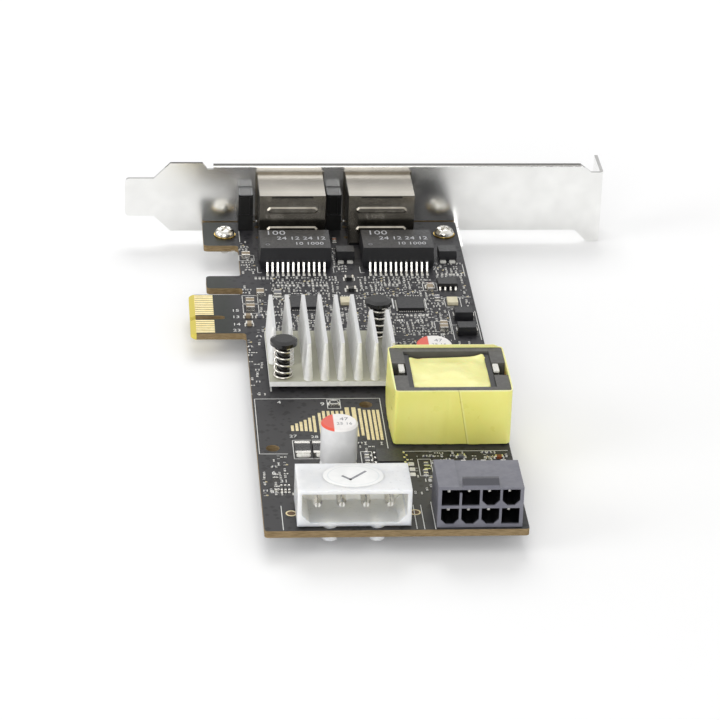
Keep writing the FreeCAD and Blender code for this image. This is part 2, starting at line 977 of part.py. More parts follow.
def small_packages():
    """Moulded bodies of the packages with leads."""
    levels = (small_package_gap, small_package_seam, small_package_height)
    return group([drafted_block(x, d, width, depth, levels, small_package_draft)
                  for x, d, width, depth, count, pitch, turned in small_package_places])


def small_lead(edge, way):
    """Section of a small package's bent lead as (run, height) corners."""
    top = small_package_seam + small_lead_thickness / 2
    knee = edge + way * small_lead_knee
    foot = knee + way * small_lead_drop
    toe = edge + way * small_lead_run
    return [
        (edge, top),
        (knee, top),
        (foot, small_lead_thickness),
        (toe, small_lead_thickness),
        (toe, 0),
        (foot - way * small_lead_thickness, 0),
        (knee - way * small_lead_thickness, top - small_lead_thickness),
        (edge, top - small_lead_thickness),
    ]


def small_package_leads():
    """Bent leads of the packages, a row on each of two sides."""
    leads = []
    for x, distance, width, depth, count, pitch, turned in small_package_places:
        half = pitch * small_lead_share / 2
        reach = (width if turned else depth) / 2
        middle = x if turned else distance
        across = distance if turned else x
        for way in (-1, 1):
            section = small_lead(middle + way * reach, way)
            for place in row(count, pitch, across):
                push = front_prism if turned else side_prism
                leads.append(push(place - half, place + half, section))
    return group(leads)


# Heatsink and what holds it

def fin_plan(x, start, end, width, height):
    """Plan of a fin at one height: square at the rear and a rounded point at the front."""
    half = width / 2
    reach = fin_nose * width / fin_root
    angles = [math.pi * index / (nose_steps * 2) for index in range(nose_steps * 2 + 1)]
    nose = [at(x - half * math.cos(angle), end - reach * (1 - math.sin(angle)), height)
            for angle in angles]
    corners = [at(x - half, start, height)] + nose + [at(x + half, start, height)]
    return corners


def fin_span(index):
    """Start and end of a fin: two stop short at the front and two at the rear for the push pins."""
    start = sink_start + fin_inset
    end = sink_end - fin_inset
    if index < 2:
        end -= fin_short
    if index >= fin_count - 2:
        start += fin_short
    return start, end


def heatsink():
    """Base plate with drafted fins and a hole for each push pin."""
    base = block(sink_centre_x, sink_middle, sink_width, sink_end - sink_start,
                 sink_bottom, sink_base_top)
    fins = []
    for index, x in enumerate(row(fin_count, fin_pitch, sink_centre_x)):
        start, end = fin_span(index)
        root = fin_plan(x, start, end, fin_root, sink_base_top)
        tip = fin_plan(x, start, end, fin_tip, fin_top)
        fins.append(faceted_solid([root, tip]))
    holes = [post(x, d, push_shaft_diameter + push_hole_clearance, 0, fin_top)
             for x, d in push_pin_places]
    return base.multiFuse(fins).cut(holes)


def main_chip():
    """Controller under the heatsink."""
    return block(sink_centre_x, sink_middle, chip_size, chip_size, 0, sink_bottom - pad_thickness)


def thermal_pad():
    """Pad between the controller and the heatsink."""
    return block(sink_centre_x, sink_middle, chip_size, chip_size,
                 sink_bottom - pad_thickness, sink_bottom)


def push_pin(x, distance):
    """Moulded pin: domed cap, shaft and a split barb below the board."""
    cap = push_cap_diameter / 2
    shaft = push_shaft_diameter / 2
    barb = push_barb_diameter / 2
    hook = underside - fit_clearance
    tip = hook - push_barb_length
    profile = [
        (0, push_cap_top),
        (cap - push_cap_dome * 2, push_cap_top),
        (cap, push_cap_top - push_cap_dome),
        (cap, push_cap_top - push_cap_edge),
        (shaft, push_cap_top - push_cap_edge),
        (shaft, hook),
        (barb, hook),
        (push_tip_diameter / 2, tip),
        (0, tip),
    ]
    pin = revolved(profile, x, distance)
    split = block(x, distance, push_split, barb * 2 + 1, tip - 1, underside / 2)
    return pin.cut(split)


def push_pin_spring(x, distance):
    """Compression spring between the heatsink's base and the pin's cap."""
    low = sink_base_top + coil_wire / 2 + fit_clearance
    high = push_cap_top - push_cap_edge - coil_wire / 2 - fit_clearance
    radius = (coil_diameter - coil_wire) / 2
    steps = coil_turns * coil_runs
    points = []
    for index in range(steps + 1):
        angle = 2 * math.pi * index / coil_runs
        climb = (high - low) * index / steps
        points.append(at(x + radius * math.cos(angle), distance - radius * math.sin(angle), low + climb))
    ahead = points[1] - points[0]
    section = ring_points(points[0], ahead, coil_wire, wire_sides)
    ring = Part.makePolygon(section + section[:1])
    return Part.makePolygon(points).makePipeShell([ring], True, False, 1)


# Power transformer

def core_half(side):
    """One half of the ferrite core: yoke, two outer legs and the middle leg."""
    reach = core_length / 2
    corners = [
        (0, -core_depth / 2, 0),
        (reach, -core_depth / 2, core_corner),
        (reach, -core_recess_length / 2, 0),
        (reach - core_recess_depth, -core_recess_length / 2, 0),
        (reach - core_recess_depth, core_recess_length / 2, 0),
        (reach, core_recess_length / 2, 0),
        (reach, core_depth / 2, core_corner),
        (0, core_depth / 2, 0),
        (0, core_window_depth / 2, 0),
        (core_window_length / 2, core_window_depth / 2, 0),
        (core_window_length / 2, -core_window_depth / 2, 0),
        (0, -core_window_depth / 2, 0),
    ]
    shell = rounded_solid(
        corners, lambda u, v: at(core_x + side * u, core_distance + v, core_bottom),
        Vector(0, 0, core_top - core_bottom))
    groove = block(core_x + side * reach, core_distance, core_leg * 2 + 1, core_recess_length,
                   core_top - core_groove_drop, core_top + 1)
    ends = sorted((core_x, core_x + side * core_window_length / 2))
    middle = winding_middle()
    leg = slab(ends[0], ends[1], core_distance - core_post_depth / 2, core_distance + core_post_depth / 2,
               middle - core_post_height / 2, middle + core_post_height / 2)
    return shell.cut(groove).fuse(leg).removeSplitter()


def winding_middle():
    """Height of the winding's axis."""
    return (winding_bottom + winding_top) / 2


def along_core(depth, height, radius, x0, x1):
    """Bar along the core with a rounded section, centred on the winding's axis."""
    corners = rounded_rectangle(core_distance, winding_middle(), depth, height, radius)
    return rounded_solid(corners, lambda d, h: at(x0, d, h), Vector(x1 - x0, 0, 0))


def transformer_bobbin():
    """Tube with a flange at each end, and a rail under each flange that holds the pins."""
    half = core_window_length / 2 - fit_clearance
    tube_depth = core_post_depth + bobbin_wall * 2
    tube_height = core_post_height + bobbin_wall * 2
    pieces = [along_core(tube_depth, tube_height, bobbin_wall, core_x - half, core_x + half)]
    for side in (-1, 1):
        inner = core_x + side * (half - flange_thickness)
        outer = core_x + side * half
        rail_end = core_x + side * (half + rail_length)
        x0, x1 = sorted((inner, outer))
        pieces.append(slab(x0, x1, core_distance - flange_depth / 2, core_distance + flange_depth / 2,
                           0, bobbin_top_height))
        x0, x1 = sorted((inner, rail_end))
        pieces.append(slab(x0, x1, core_distance - rail_depth / 2, core_distance + rail_depth / 2,
                           0, core_bottom - fit_clearance))
    bore = block(core_x, core_distance, core_length, core_post_depth + fit_clearance * 2,
                 winding_middle() - core_post_height / 2 - fit_clearance,
                 winding_middle() + core_post_height / 2 + fit_clearance)
    return fused(pieces).cut(bore)


def transformer_winding():
    """Taped copper on the bobbin between its flanges."""
    half = core_window_length / 2 - flange_thickness - fit_clearance * 2
    height = winding_top - winding_bottom
    body = along_core(winding_depth, height, winding_corner, core_x - half, core_x + half)
    tube_depth = core_post_depth + bobbin_wall * 2
    tube_height = core_post_height + bobbin_wall * 2
    bore = along_core(tube_depth + fit_clearance * 2, tube_height + fit_clearance * 2,
                      bobbin_wall + fit_clearance, core_x - half - 1, core_x + half + 1)
    return body.cut(bore)


def transformer_tape():
    """Band of tape round the core."""
    inner_length = core_length + fit_clearance
    inner_depth = core_depth + fit_clearance
    inner_radius = core_corner + fit_clearance / 2
    rings = []
    for growth in (0, tape_thickness):
        rings.append(rounded_solid(
            rounded_rectangle(core_x, core_distance, inner_length + growth * 2,
                              inner_depth + growth * 2, inner_radius + growth),
            lambda x, d: at(x, d, tape_bottom), Vector(0, 0, tape_top - tape_bottom)))
    return rings[1].cut(rings[0])


def transformer_pin_places():
    """Two rows of pins, one in each rail of the bobbin."""
    reach = core_window_length / 2 + rail_length / 2
    distances = row(transformer_pin_count, transformer_pin_pitch, core_distance)
    return [(core_x + side * reach, d) for side in (-1, 1) for d in distances]


def transformer_pins():
    """Pins from the rails through the board."""
    side = transformer_pin_side
    return group([block(x, d, side, side, tail_end, 0) for x, d in transformer_pin_places()])


# Electrolytic capacitors

def capacitor_can(x, distance):
    """Sleeved can with its rolled crimp and an edge at the top."""
    radius = capacitor_diameter / 2
    low = capacitor_lift
    crimp = low + crimp_height
    profile = [
        (0, capacitor_height),
        (radius - capacitor_edge, capacitor_height),
        (radius, capacitor_height - capacitor_edge),
        (radius, crimp + crimp_half),
        (radius - crimp_depth, crimp),
        (radius, crimp - crimp_half),
        (radius, low),
        (0, low),
    ]
    return revolved(profile, x, distance)


def capacitor_seal(x, distance):
    """Foot of the rubber plug that the can is rolled onto."""
    return flat_post(x, distance, seal_diameter, 0, capacitor_lift, round_sides)


def capacitor_lead_places():
    """Where the capacitors' leads pass the board."""
    return [(x + side * capacitor_lead_spacing / 2, d)
            for x, d in capacitor_places for side in (-1, 1)]


def capacitor_leads():
    """Two leads under each capacitor."""
    side = capacitor_lead_side
    return group([block(x, d, side, side, tail_end, 0) for x, d in capacitor_lead_places()])


# Four-way power header

def four_peg_xs():
    """The two pegs under the four-way header."""
    return row(2, peg_spacing, four_x)


def four_peg_distance():
    """The pegs stand flush with the header's front face."""
    return four_front - peg_diameter / 2 - fit_clearance


def four_tail_distance():
    """Where the tails of the four-way header pass the board."""
    return four_back - four_tail_run


def four_way_section(inset_side, bottom, top, corner):
    """Section across the header: flat top, lower corners cut off."""
    half = four_width / 2 - inset_side
    return [
        (four_x - half, top),
        (four_x - half, bottom + corner),
        (four_x - half + corner, bottom),
        (four_x + half - corner, bottom),
        (four_x + half, bottom + corner),
        (four_x + half, top),
    ]


def four_way_housing():
    """Shroud open to the front, with two pegs, two rear feet and a bore for each pin."""
    shell = slab(four_x - four_width / 2, four_x + four_width / 2, four_back, four_front,
                 four_bottom, four_top)
    cavity = front_prism(
        four_pin_base, four_front + 1,
        four_way_section(four_wall, four_bottom + four_floor, four_top - four_wall, four_corner))
    pegs = [post(x, four_peg_distance(), peg_diameter, -peg_end, four_bottom) for x in four_peg_xs()]
    rear_feet = [block(x, four_back + four_foot_inset, four_foot, four_foot, 0, four_bottom)
                 for x in four_peg_xs()]
    bores = []
    for x in row(4, four_pitch, four_x):
        bores.append(polygon_bar(
            at(x, four_front, four_pin_height), Vector(0, four_front - four_back + 1, 0),
            four_pin_diameter + fit_clearance * 2, pin_sides))
    return fused([shell] + pegs + rear_feet).cut([cavity] + bores)


def four_way_contacts():
    """Split round pins with a pointed end and a square tail bent down through the board."""
    radius = four_pin_diameter / 2
    tip = four_front - four_pin_recess
    shoulder = tip - radius
    contacts = []
    for x in row(4, four_pitch, four_x):
        rings = []
        for distance, diameter in ((four_back, 1), (shoulder, 1), (tip, four_pin_point)):
            ring = ring_points(at(x, distance, four_pin_height), Vector(0, 1, 0),
                               four_pin_diameter * diameter, pin_sides)
            rings.append(ring)
        pin = faceted_solid(rings)
        half = four_tail / 2
        tail = side_prism(x - half, x + half, [
            (four_back, four_pin_height + half),
            (four_tail_distance() - half, four_pin_height + half),
            (four_tail_distance() - half, tail_end),
            (four_tail_distance() + half, tail_end),
            (four_tail_distance() + half, four_pin_height - half),
            (four_back, four_pin_height - half),
        ])
        split = slab(x - four_pin_split / 2, x + four_pin_split / 2, tip - four_pin_split_length, tip + 1,
                     four_pin_height - radius * 2, four_pin_height + radius * 2)
        contacts.append(pin.fuse(tail).cut(split))
    return group(contacts)


# Eight-way power header

def eight_cell_xs():
    """Middles of the four columns of cells."""
    return row(4, eight_pitch, eight_x)


def eight_cell_heights():
    """Bottoms of the lower and the upper row of cells."""
    return (eight_floor, eight_floor + eight_row_pitch)


def eight_peg_xs():
    """The two pegs under the eight-way header."""
    return row(2, eight_peg_spacing, eight_x)


def eight_tail_distance(level):
    """Where the tails of one row of the eight-way header pass the board."""
    return eight_back - eight_tail_runs[1 - level]


def cell_section(x, bottom, keyed):
    """Section of a cell: square, or with its lower corners cut off."""
    half = eight_cell / 2
    top = bottom + eight_cell
    if not keyed:
        return [(x - half, top), (x - half, bottom), (x + half, bottom), (x + half, top)]
    cut = eight_chamfer
    return [
        (x - half, top),
        (x - half, bottom + cut),
        (x - half + cut, bottom),
        (x + half - cut, bottom),
        (x + half, bottom + cut),
        (x + half, top),
    ]


def eight_way_housing():
    """Shroud with eight keyed cells, a latch ramp on top and two pegs."""
    left = eight_x - eight_width / 2
    right = eight_x + eight_width / 2
    shell = slab(left, right, eight_back, eight_front, 0, eight_height)
    step = slab(eight_step_x, right + 1, eight_back - 1, eight_front + 1,
                eight_height - eight_step, eight_height + 1)
    keyed = {0: (True, True, True, False), 1: (False, False, True, True)}
    cells = []
    for level, bottom in enumerate(eight_cell_heights()):
        for x, has_key in zip(eight_cell_xs(), keyed[level]):
            cells.append(front_prism(eight_front - eight_cavity_depth, eight_front + 1,
                                     cell_section(x, bottom, has_key)))
    first, second = eight_cell_xs()[:2]
    upper_top = eight_cell_heights()[1] + eight_cell
    link = slab(first, second, eight_front - eight_cavity_depth, eight_front + 1,
                upper_top - eight_link_height, upper_top)
    ramp_foot = eight_height - eight_step
    ramp_back = eight_front - latch_ramp_run
    ramp = side_prism(eight_x - latch_ramp_width / 2, eight_x + latch_ramp_width / 2, [
        (eight_front, ramp_foot - eight_step),
        (eight_front, ramp_foot),
        (ramp_back, ramp_foot + latch_ramp_rise),
        (ramp_back - latch_ramp_top, ramp_foot + latch_ramp_rise),
        (ramp_back - latch_ramp_top, ramp_foot - eight_step),
    ])
    pegs = [post(x, eight_peg_distance, eight_peg_diameter, tail_end, eight_peg_root)
            for x in eight_peg_xs()]
    bores = []
    for bottom in eight_cell_heights():
        for x in eight_cell_xs():
            half = eight_pin / 2 + fit_clearance
            middle = bottom + eight_cell / 2
            bores.append(slab(x - half, x + half, eight_back - 1, eight_front, middle - half, middle + half))
    body = fused([shell.cut(step), ramp] + pegs)
    return body.cut(cells + [link] + bores)


def eight_way_contacts():
    """Square pins with drawn-in tips, bent down behind the header, the upper row further back."""
    half = eight_pin / 2
    tip = eight_front - eight_pin_recess
    shoulder = tip - eight_pin_taper
    contacts = []
    for level, bottom in enumerate(eight_cell_heights()):
        middle = bottom + eight_cell / 2
        tail = eight_tail_distance(level)
        section = [
            (shoulder, middle + half),
            (tail - half, middle + half),
            (tail - half, tail_end),
            (tail + half, tail_end),
            (tail + half, middle - half),
            (shoulder, middle - half),
        ]
        for x in eight_cell_xs():
            rings = []
            for distance, reach in ((shoulder, half), (tip, half * eight_pin_point)):
                rings.append([at(x + u * reach, distance, middle + v * reach)
                              for u, v in ((-1, -1), (1, -1), (1, 1), (-1, 1))])
            stem = side_prism(x - half, x + half, section)
            contacts.append(stem.fuse(faceted_solid(rings)).removeSplitter())
    return group(contacts)


# Small parts

def surge_suppressors():
    """Moulded blocks beside the network transformers."""
    width, depth, height = suppressor_size
    levels = (0, height / 2, height)
    return group([drafted_block(x, d, width, depth, levels, chip_draft) for x, d in suppressor_places])


def network_chips():
    """Flat square packages."""
    return group([block(x, d, network_chip_size, network_chip_size, 0, network_chip_height)
                  for x, d in network_chip_places])


def crystals():
    """Small oscillator cans."""
    width, depth, height = crystal_size
    return group([block(x, d, width, depth, 0, height) for x, d in crystal_places])


def diodes():
    """Two power diodes at the right edge."""
    width, depth, height = diode_size
    levels = (diode_gap, height / 2, height)
    return group([drafted_block(x, d, width, depth, levels, chip_draft) for x, d in diode_places])


def diode_terminals():
    """Metal ends folded under each diode."""
    width, depth, height = diode_size
    half = depth * diode_strap_share / 2
    ends = []
    for x, d in diode_places:
        for side in (-1, 1):
            x0, x1 = sorted((x + side * width / 2, x + side * (width / 2 + diode_strap)))
            ends.append(slab(x0, x1, d - half, d + half, 0, height / 2))
    return group(ends)


def chip_bodies(places):
    """Middle parts of chips."""
    return group([block(x, d, w, depth * (1 - chip_cap_share * 2), 0, h) for x, d, w, depth, h in places])


def chip_caps():
    """Soldered metal ends of all chips."""
    caps = []
    for x, d, w, depth, h in chip_places + resistor_places:
        length = depth * chip_cap_share
        for side in (-1, 1):
            middle = d + side * (depth - length) / 2
            caps.append(block(x, middle, w, length, 0, h))
    return group(caps)


def save_all():
    """Write every node."""
    save("bracket", bracket())
    save("bracket_screws", group([bracket_screw(x) for x in mount_tab_xs]))
    save("circuit_board", circuit_board())
    save("edge_contacts", edge_contacts())
    for side, x in zip(("left", "right"), jack_xs):
        save("jack_shield_" + side, jack_shield(x))
        save("jack_housing_" + side, jack_housing(x))
        save("jack_contacts_" + side, jack_contacts(x))
    for side, x in zip(("left", "right"), indicator_xs):
        save("indicator_housing_" + side, indicator_housing(x))
        save("indicator_lenses_" + side, indicator_lenses(x))
    for side, x in zip(("left", "right"), lan_xs):
        save("network_transformer_" + side, lan_body(x))
        save("network_transformer_leads_" + side, lan_leads(x))
    save("heatsink", heatsink())
    save("thermal_pad", thermal_pad())
    save("main_chip", main_chip())
    save("push_pins", group([push_pin(x, d) for x, d in push_pin_places]))
    save("push_pin_springs", group([push_pin_spring(x, d) for x, d in push_pin_places]))
    save("transformer_core", group([core_half(side) for side in (-1, 1)]))
    save("transformer_bobbin", transformer_bobbin())
    save("transformer_winding", transformer_winding())
    save("transformer_tape", transformer_tape())
    save("transformer_pins", transformer_pins())
    for side, place in zip(("front", "rear"), capacitor_places):
        save("capacitor_can_" + side, capacitor_can(*place))
        save("capacitor_seal_" + side, capacitor_seal(*place))
    save("capacitor_leads", capacitor_leads())
    save("four_way_housing", four_way_housing())
    save("four_way_contacts", four_way_contacts())
    save("eight_way_housing", eight_way_housing())
    save("eight_way_contacts", eight_way_contacts())
    save("surge_suppressors", surge_suppressors())
    save("small_packages", small_packages())
    save("small_package_leads", small_package_leads())
    save("network_chips", network_chips())
    save("crystals", crystals())
    save("diodes", diodes())
    save("diode_terminals", diode_terminals())
    save("chip_capacitors", chip_bodies(chip_places))
    save("chip_resistors", chip_bodies(resistor_places))
    save("chip_end_caps", chip_caps())


os.makedirs("parts", exist_ok=True)
save_all()
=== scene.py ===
"""Looks of the network interface card.

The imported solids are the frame. This file gives every solid its finish and adds the print, pads, solder,
wire, tape edges and the smallest chips, each as a surface worked out on a grid of two parameters.

Lengths are in millimetres on the board until a shell becomes a mesh: x runs across the board, d is the
distance behind the bracket's inner face and h is the height over the component side. Finishes work on the
frame's own millimetres, where y is less by the distance d and z is lower by the board's place.
"""

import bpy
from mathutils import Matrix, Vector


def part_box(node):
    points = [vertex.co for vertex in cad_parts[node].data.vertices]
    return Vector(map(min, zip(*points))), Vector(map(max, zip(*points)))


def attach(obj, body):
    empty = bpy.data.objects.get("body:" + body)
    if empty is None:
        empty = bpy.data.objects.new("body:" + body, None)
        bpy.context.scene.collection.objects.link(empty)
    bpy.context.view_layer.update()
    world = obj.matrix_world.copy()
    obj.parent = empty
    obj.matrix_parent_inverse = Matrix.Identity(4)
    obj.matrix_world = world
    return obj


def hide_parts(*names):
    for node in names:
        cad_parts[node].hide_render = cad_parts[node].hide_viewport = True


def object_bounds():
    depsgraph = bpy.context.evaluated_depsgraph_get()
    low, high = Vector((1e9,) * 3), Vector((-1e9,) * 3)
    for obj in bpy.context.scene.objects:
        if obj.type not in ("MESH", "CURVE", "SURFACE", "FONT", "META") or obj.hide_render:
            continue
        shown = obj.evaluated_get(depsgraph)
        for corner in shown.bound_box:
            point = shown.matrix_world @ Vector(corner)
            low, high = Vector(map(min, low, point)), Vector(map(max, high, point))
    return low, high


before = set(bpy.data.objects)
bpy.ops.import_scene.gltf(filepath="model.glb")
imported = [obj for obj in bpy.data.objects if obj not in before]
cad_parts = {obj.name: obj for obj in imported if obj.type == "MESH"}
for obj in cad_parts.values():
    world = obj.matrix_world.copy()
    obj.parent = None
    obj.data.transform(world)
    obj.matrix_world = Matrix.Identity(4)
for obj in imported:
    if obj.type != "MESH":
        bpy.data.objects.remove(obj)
CAD_BOX = [list(corner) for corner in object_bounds()]

import logging
import math
from dataclasses import dataclass
from enum import Enum

import bpy
import numpy as np
from bpy.types import NodeSocket as Socket
from mathutils import Matrix, Vector

LOG = logging.getLogger("card")

# MM, BOARD_TOP and PLATE_FACE are in metres and the other lengths in millimetres.
MM = 0.001
BODY = "root"
BOARD_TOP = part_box("circuit_board")[1].z
PLATE_FACE = -0.00086
TURN = 2 * math.pi
QUARTER = math.pi / 2
CLOUDY = (0.3, 0.7)
LEAST_ROUGHNESS = 0.03
INK_HIGH = 0.02
PAD_HIGH = 0.03
MADE: dict[str, bpy.types.Material] = {}  # each finish's material by its name, once it is made

Pair = tuple[float, float]
Triple = tuple[float, float, float]
Four = tuple[float, float, float, float]
Places = tuple[Pair, ...]
Marks = tuple[tuple[str, float, float, float], ...]
Value = Socket | float
Colour = Socket | str


# ---------------------------------------------------------------- colour and nodes


def linear(code: str) -> Four:
    """The scene-linear colour of a screen colour.

    Args:
        code: six hexadecimal digits, as on a screen.

    Returns:
        Red, green, blue and a full alpha.
    """
    screen = np.array([int(code[i : i + 2], 16) for i in (0, 2, 4)]) / 255
    light = np.where(screen <= 0.04045, screen / 12.92, ((screen + 0.055) / 1.055) ** 2.4)
    return (*light.tolist(), 1.0)


class Graph:
    """The nodes of a material, or of the world, on the object's own coordinates in millimetres."""

    def __init__(self, owner: bpy.types.ID, shader: str = "Principled BSDF") -> None:
        """Starts the nodes.

        Args:
            owner: the material or the world.
            shader: the name of the node that the others lead to.
        """
        owner.use_nodes = True
        self.owner = owner
        self.nodes = owner.node_tree.nodes
        self.links = owner.node_tree.links
        self.shader = self.nodes[shader]
        self.place = None

    def add(self, kind: str, inputs: dict | None = None, **settings) -> bpy.types.Node:
        """Adds a node.

        Args:
            kind: the node's type, without its ShaderNode prefix.
            inputs: a value or a socket for each input, by name or number.
            settings: the node's own settings.

        Returns:
            The new node.
        """
        node = self.nodes.new("ShaderNode" + kind)
        for key, value in settings.items():
            setattr(node, key, value)
        for key, value in (inputs or {}).items():
            self.put(node.inputs[key], value)
        return node

    def put(self, socket: Socket, value: Value | tuple[float, ...]) -> None:
        """Links a socket to another, or gives it a constant."""
        if isinstance(value, Socket):
            self.links.new(value, socket)
        else:
            socket.default_value = value

    def position(self) -> Socket:
        """The place on the object in millimetres."""
        if self.place is None:
            coordinates = self.add("TexCoord").outputs["Object"]
            scaled = self.add("VectorMath", {0: coordinates, "Scale": 1 / MM}, operation="SCALE")
            self.place = scaled.outputs["Vector"]
        return self.place

    def stretched(self, factors: Triple) -> Socket:
        """The place with each axis multiplied by its factor."""
        node = self.add("VectorMath", {0: self.position(), 1: factors}, operation="MULTIPLY")
        return node.outputs["Vector"]

    def axis(self, name: str) -> Socket:
        """One coordinate of the place, X, Y or Z."""
        return self.add("SeparateXYZ", {0: self.position()}).outputs[name]

    def upward(self, normal: str = "True Normal") -> Socket:
        """How far the surface looks up: 1 upwards, 0 sideways and -1 downwards."""
        return self.add("SeparateXYZ", {0: self.add("NewGeometry").outputs[normal]}).outputs["Z"]

    def noise(
        self, scale: float, detail: float = 2.0, stretch: Triple | None = None, warp: float = 0.0
    ) -> Socket:
        """Cloudy noise.

        Args:
            scale: how many features there are to a millimetre.
            detail: how many finer layers are added.
            stretch: factors of the three axes.
            warp: how far the pattern is pulled about.

        Returns:
            The noise, from 0 to 1.
        """
        where = self.position() if stretch is None else self.stretched(stretch)
        values = {"Vector": where, "Scale": scale, "Detail": detail, "Distortion": warp}
        return self.add("TexNoise", values).outputs["Fac"]

    def cells(self, scale: float, output: str, distance: str = "EUCLIDEAN") -> Socket:
        """A pattern of cells: the colour of each, or how far its middle is."""
        values = {"Vector": self.position(), "Scale": scale}
        return self.add("TexVoronoi", values, distance=distance).outputs[output]

    def ramp(
        self, factor: Socket, low: float, high: float, start: float = 0.0, end: float = 1.0
    ) -> Socket:
        """Carries a value from one range into another and holds it there.

        Args:
            factor: the value.
            low: where the range starts.
            high: where it ends.
            start: what low becomes.
            end: what high becomes.

        Returns:
            The new value's socket.
        """
        values = {"Value": factor, "From Min": low, "From Max": high, "To Min": start, "To Max": end}
        return self.add("MapRange", values).outputs["Result"]

    def smooth(self, factor: Socket, *limits: float) -> Socket:
        """A ramp of the same limits that begins and ends gently."""
        socket = self.ramp(factor, *limits)
        socket.node.interpolation_type = "SMOOTHSTEP"
        return socket

    def mix(self, factor: Value, first: Colour, second: Colour) -> Socket:
        """Mixes two colours.

        Args:
            factor: how much of the second.
            first: a colour's code or its socket.
            second: a colour's code or its socket.

        Returns:
            The mixed colour.
        """
        values = [linear(colour) if isinstance(colour, str) else colour for colour in (first, second)]
        return self.add("Mix", {0: factor, 6: values[0], 7: values[1]}, data_type="RGBA").outputs[2]

    def maths(self, operation: str, first: Value, second: Value = 0.0) -> Socket:
        """The result of a sum on one or two values."""
        return self.add("Math", {0: first, 1: second}, operation=operation).outputs[0]

    def product(self, first: Socket, *others: Value) -> Socket:
        """Several values multiplied."""
        for other in others:
            first = self.maths("MULTIPLY", first, other)
        return first

    def away(self, value: Socket, middle: float) -> Socket:
        """How far a value is from a middle one, either way."""
        return self.maths("ABSOLUTE", self.maths("SUBTRACT", value, middle))

    def colour(self) -> Socket:
        """The colour that the shader has so far."""
        return self.shader.inputs["Base Color"].links[0].from_socket

    def bump(self, height: Socket, depth: float, strength: float = 1.0) -> None:
        """Adds relief to the shader's surface.

        Args:
            height: the relief, from 0 to 1.
            depth: its depth in millimetres.
            strength: how much of it is seen.
        """
        values = {"Strength": strength, "Distance": depth * MM, "Height": height}
        before = self.shader.inputs["Normal"]
        if before.is_linked:
            values["Normal"] = before.links[0].from_socket
        self.links.new(self.add("Bump", values).outputs["Normal"], before)

    def set(self, **inputs) -> None:
        """Gives the shader's inputs constants or links, with _ for a space in a name."""
        for key, value in inputs.items():
            self.put(self.shader.inputs[key.replace("_", " ")], value)


# ---------------------------------------------------------------- finishes


@dataclass(frozen=True)
class Finish:
    """A finish with cloudy colour and an uneven shine."""

    name: str
    slot: str
    colour: str
    shade: str
    roughness: float = 0.5
    unevenness: float = 0.1
    patch: float = 0.4
    grain: float = 8.0
    depth: float = 0.004

    def material(self) -> bpy.types.Material:
        """The finish's material, made the first time that it is asked for."""
        if self.name not in MADE:
            graph = Graph(bpy.data.materials.new(self.name))
            self.draw(graph)
            MADE[self.name] = graph.owner
        return MADE[self.name]

    def draw(self, graph: Graph) -> None:
        """Draws the nodes: two colours in soft patches, an uneven shine and a fine grain."""
        patches = graph.noise(self.patch, 4.0, warp=0.3)
        graph.set(Base_Color=graph.mix(graph.ramp(patches, *CLOUDY), self.colour, self.shade))
        self.shine(graph)
        graph.bump(graph.noise(self.grain), self.depth)

    def shine(self, graph: Graph) -> None:
        """Lets the roughness change in soft patches."""
        self.roughen(graph, graph.noise(self.patch * 3, 3.0), self.unevenness)

    def roughen(self, graph: Graph, pattern: Socket, change: float) -> None:
        """Sets the roughness, which goes up and down by a change as the pattern does."""
        low, high = self.roughness - change, self.roughness + change
        graph.set(Roughness=graph.ramp(pattern, *CLOUDY, max(low, LEAST_ROUGHNESS), high))


@dataclass(frozen=True)
class Metal(Finish):
    """Plated or bare metal with a drawn or rolled grain and faint smudges."""

    rolled: Triple = (1.0, 1.0, 1.0)
    smudge: float = 0.05
    smudge_scale: float = 0.09
    metallic: float = 1.0

    def draw(self, graph: Graph) -> None:
        """Draws metal with relief along its grain."""
        super().draw(graph)
        graph.set(Metallic=self.metallic)
        graph.bump(self.lines(graph), self.depth)

    def lines(self, graph: Graph) -> Socket:
        """The lines that rolling or drawing leaves."""
        return graph.noise(self.grain, 3.0, stretch=self.rolled)

    def shine(self, graph: Graph) -> None:
        """Lets the roughness change with the grain and the smudges, half and half."""
        clouds = graph.noise(self.smudge_scale, 3.0, warp=1.0)
        halves = [graph.product(pattern, 0.5) for pattern in (self.lines(graph), clouds)]
        self.roughen(graph, graph.maths("ADD", *halves), self.smudge)


@dataclass(frozen=True)
class RoofPaintedShading(Metal):
    """Metal whose upward faces above a height are painted with light and shade, going from one colour at the
    plate to another in front: a painted shade and a painted reflection.
    """

    above: float = 0.0
    behind: float = -0.86
    before: float = -12.0
    near_painted_shading: str = "84827f"
    far_painted_shading: str = "84827f"

    def draw(self, graph: Graph) -> None:
        """Draws the metal, then paints shade and reflection on its roof."""
        super().draw(graph)
        # Painted shade and reflection: upward faces above the height take colours that run from the plate to
        # the front.
        high = graph.ramp(graph.axis("Z"), self.above, self.above + 0.2)
        roof = graph.product(graph.ramp(graph.upward("Normal"), 0.3, 0.8), high)
        along = graph.ramp(graph.axis("Y"), self.behind, self.before)
        painted_shading = graph.mix(along, self.near_painted_shading, self.far_painted_shading)
        graph.set(Base_Color=graph.mix(roof, graph.colour(), painted_shading))


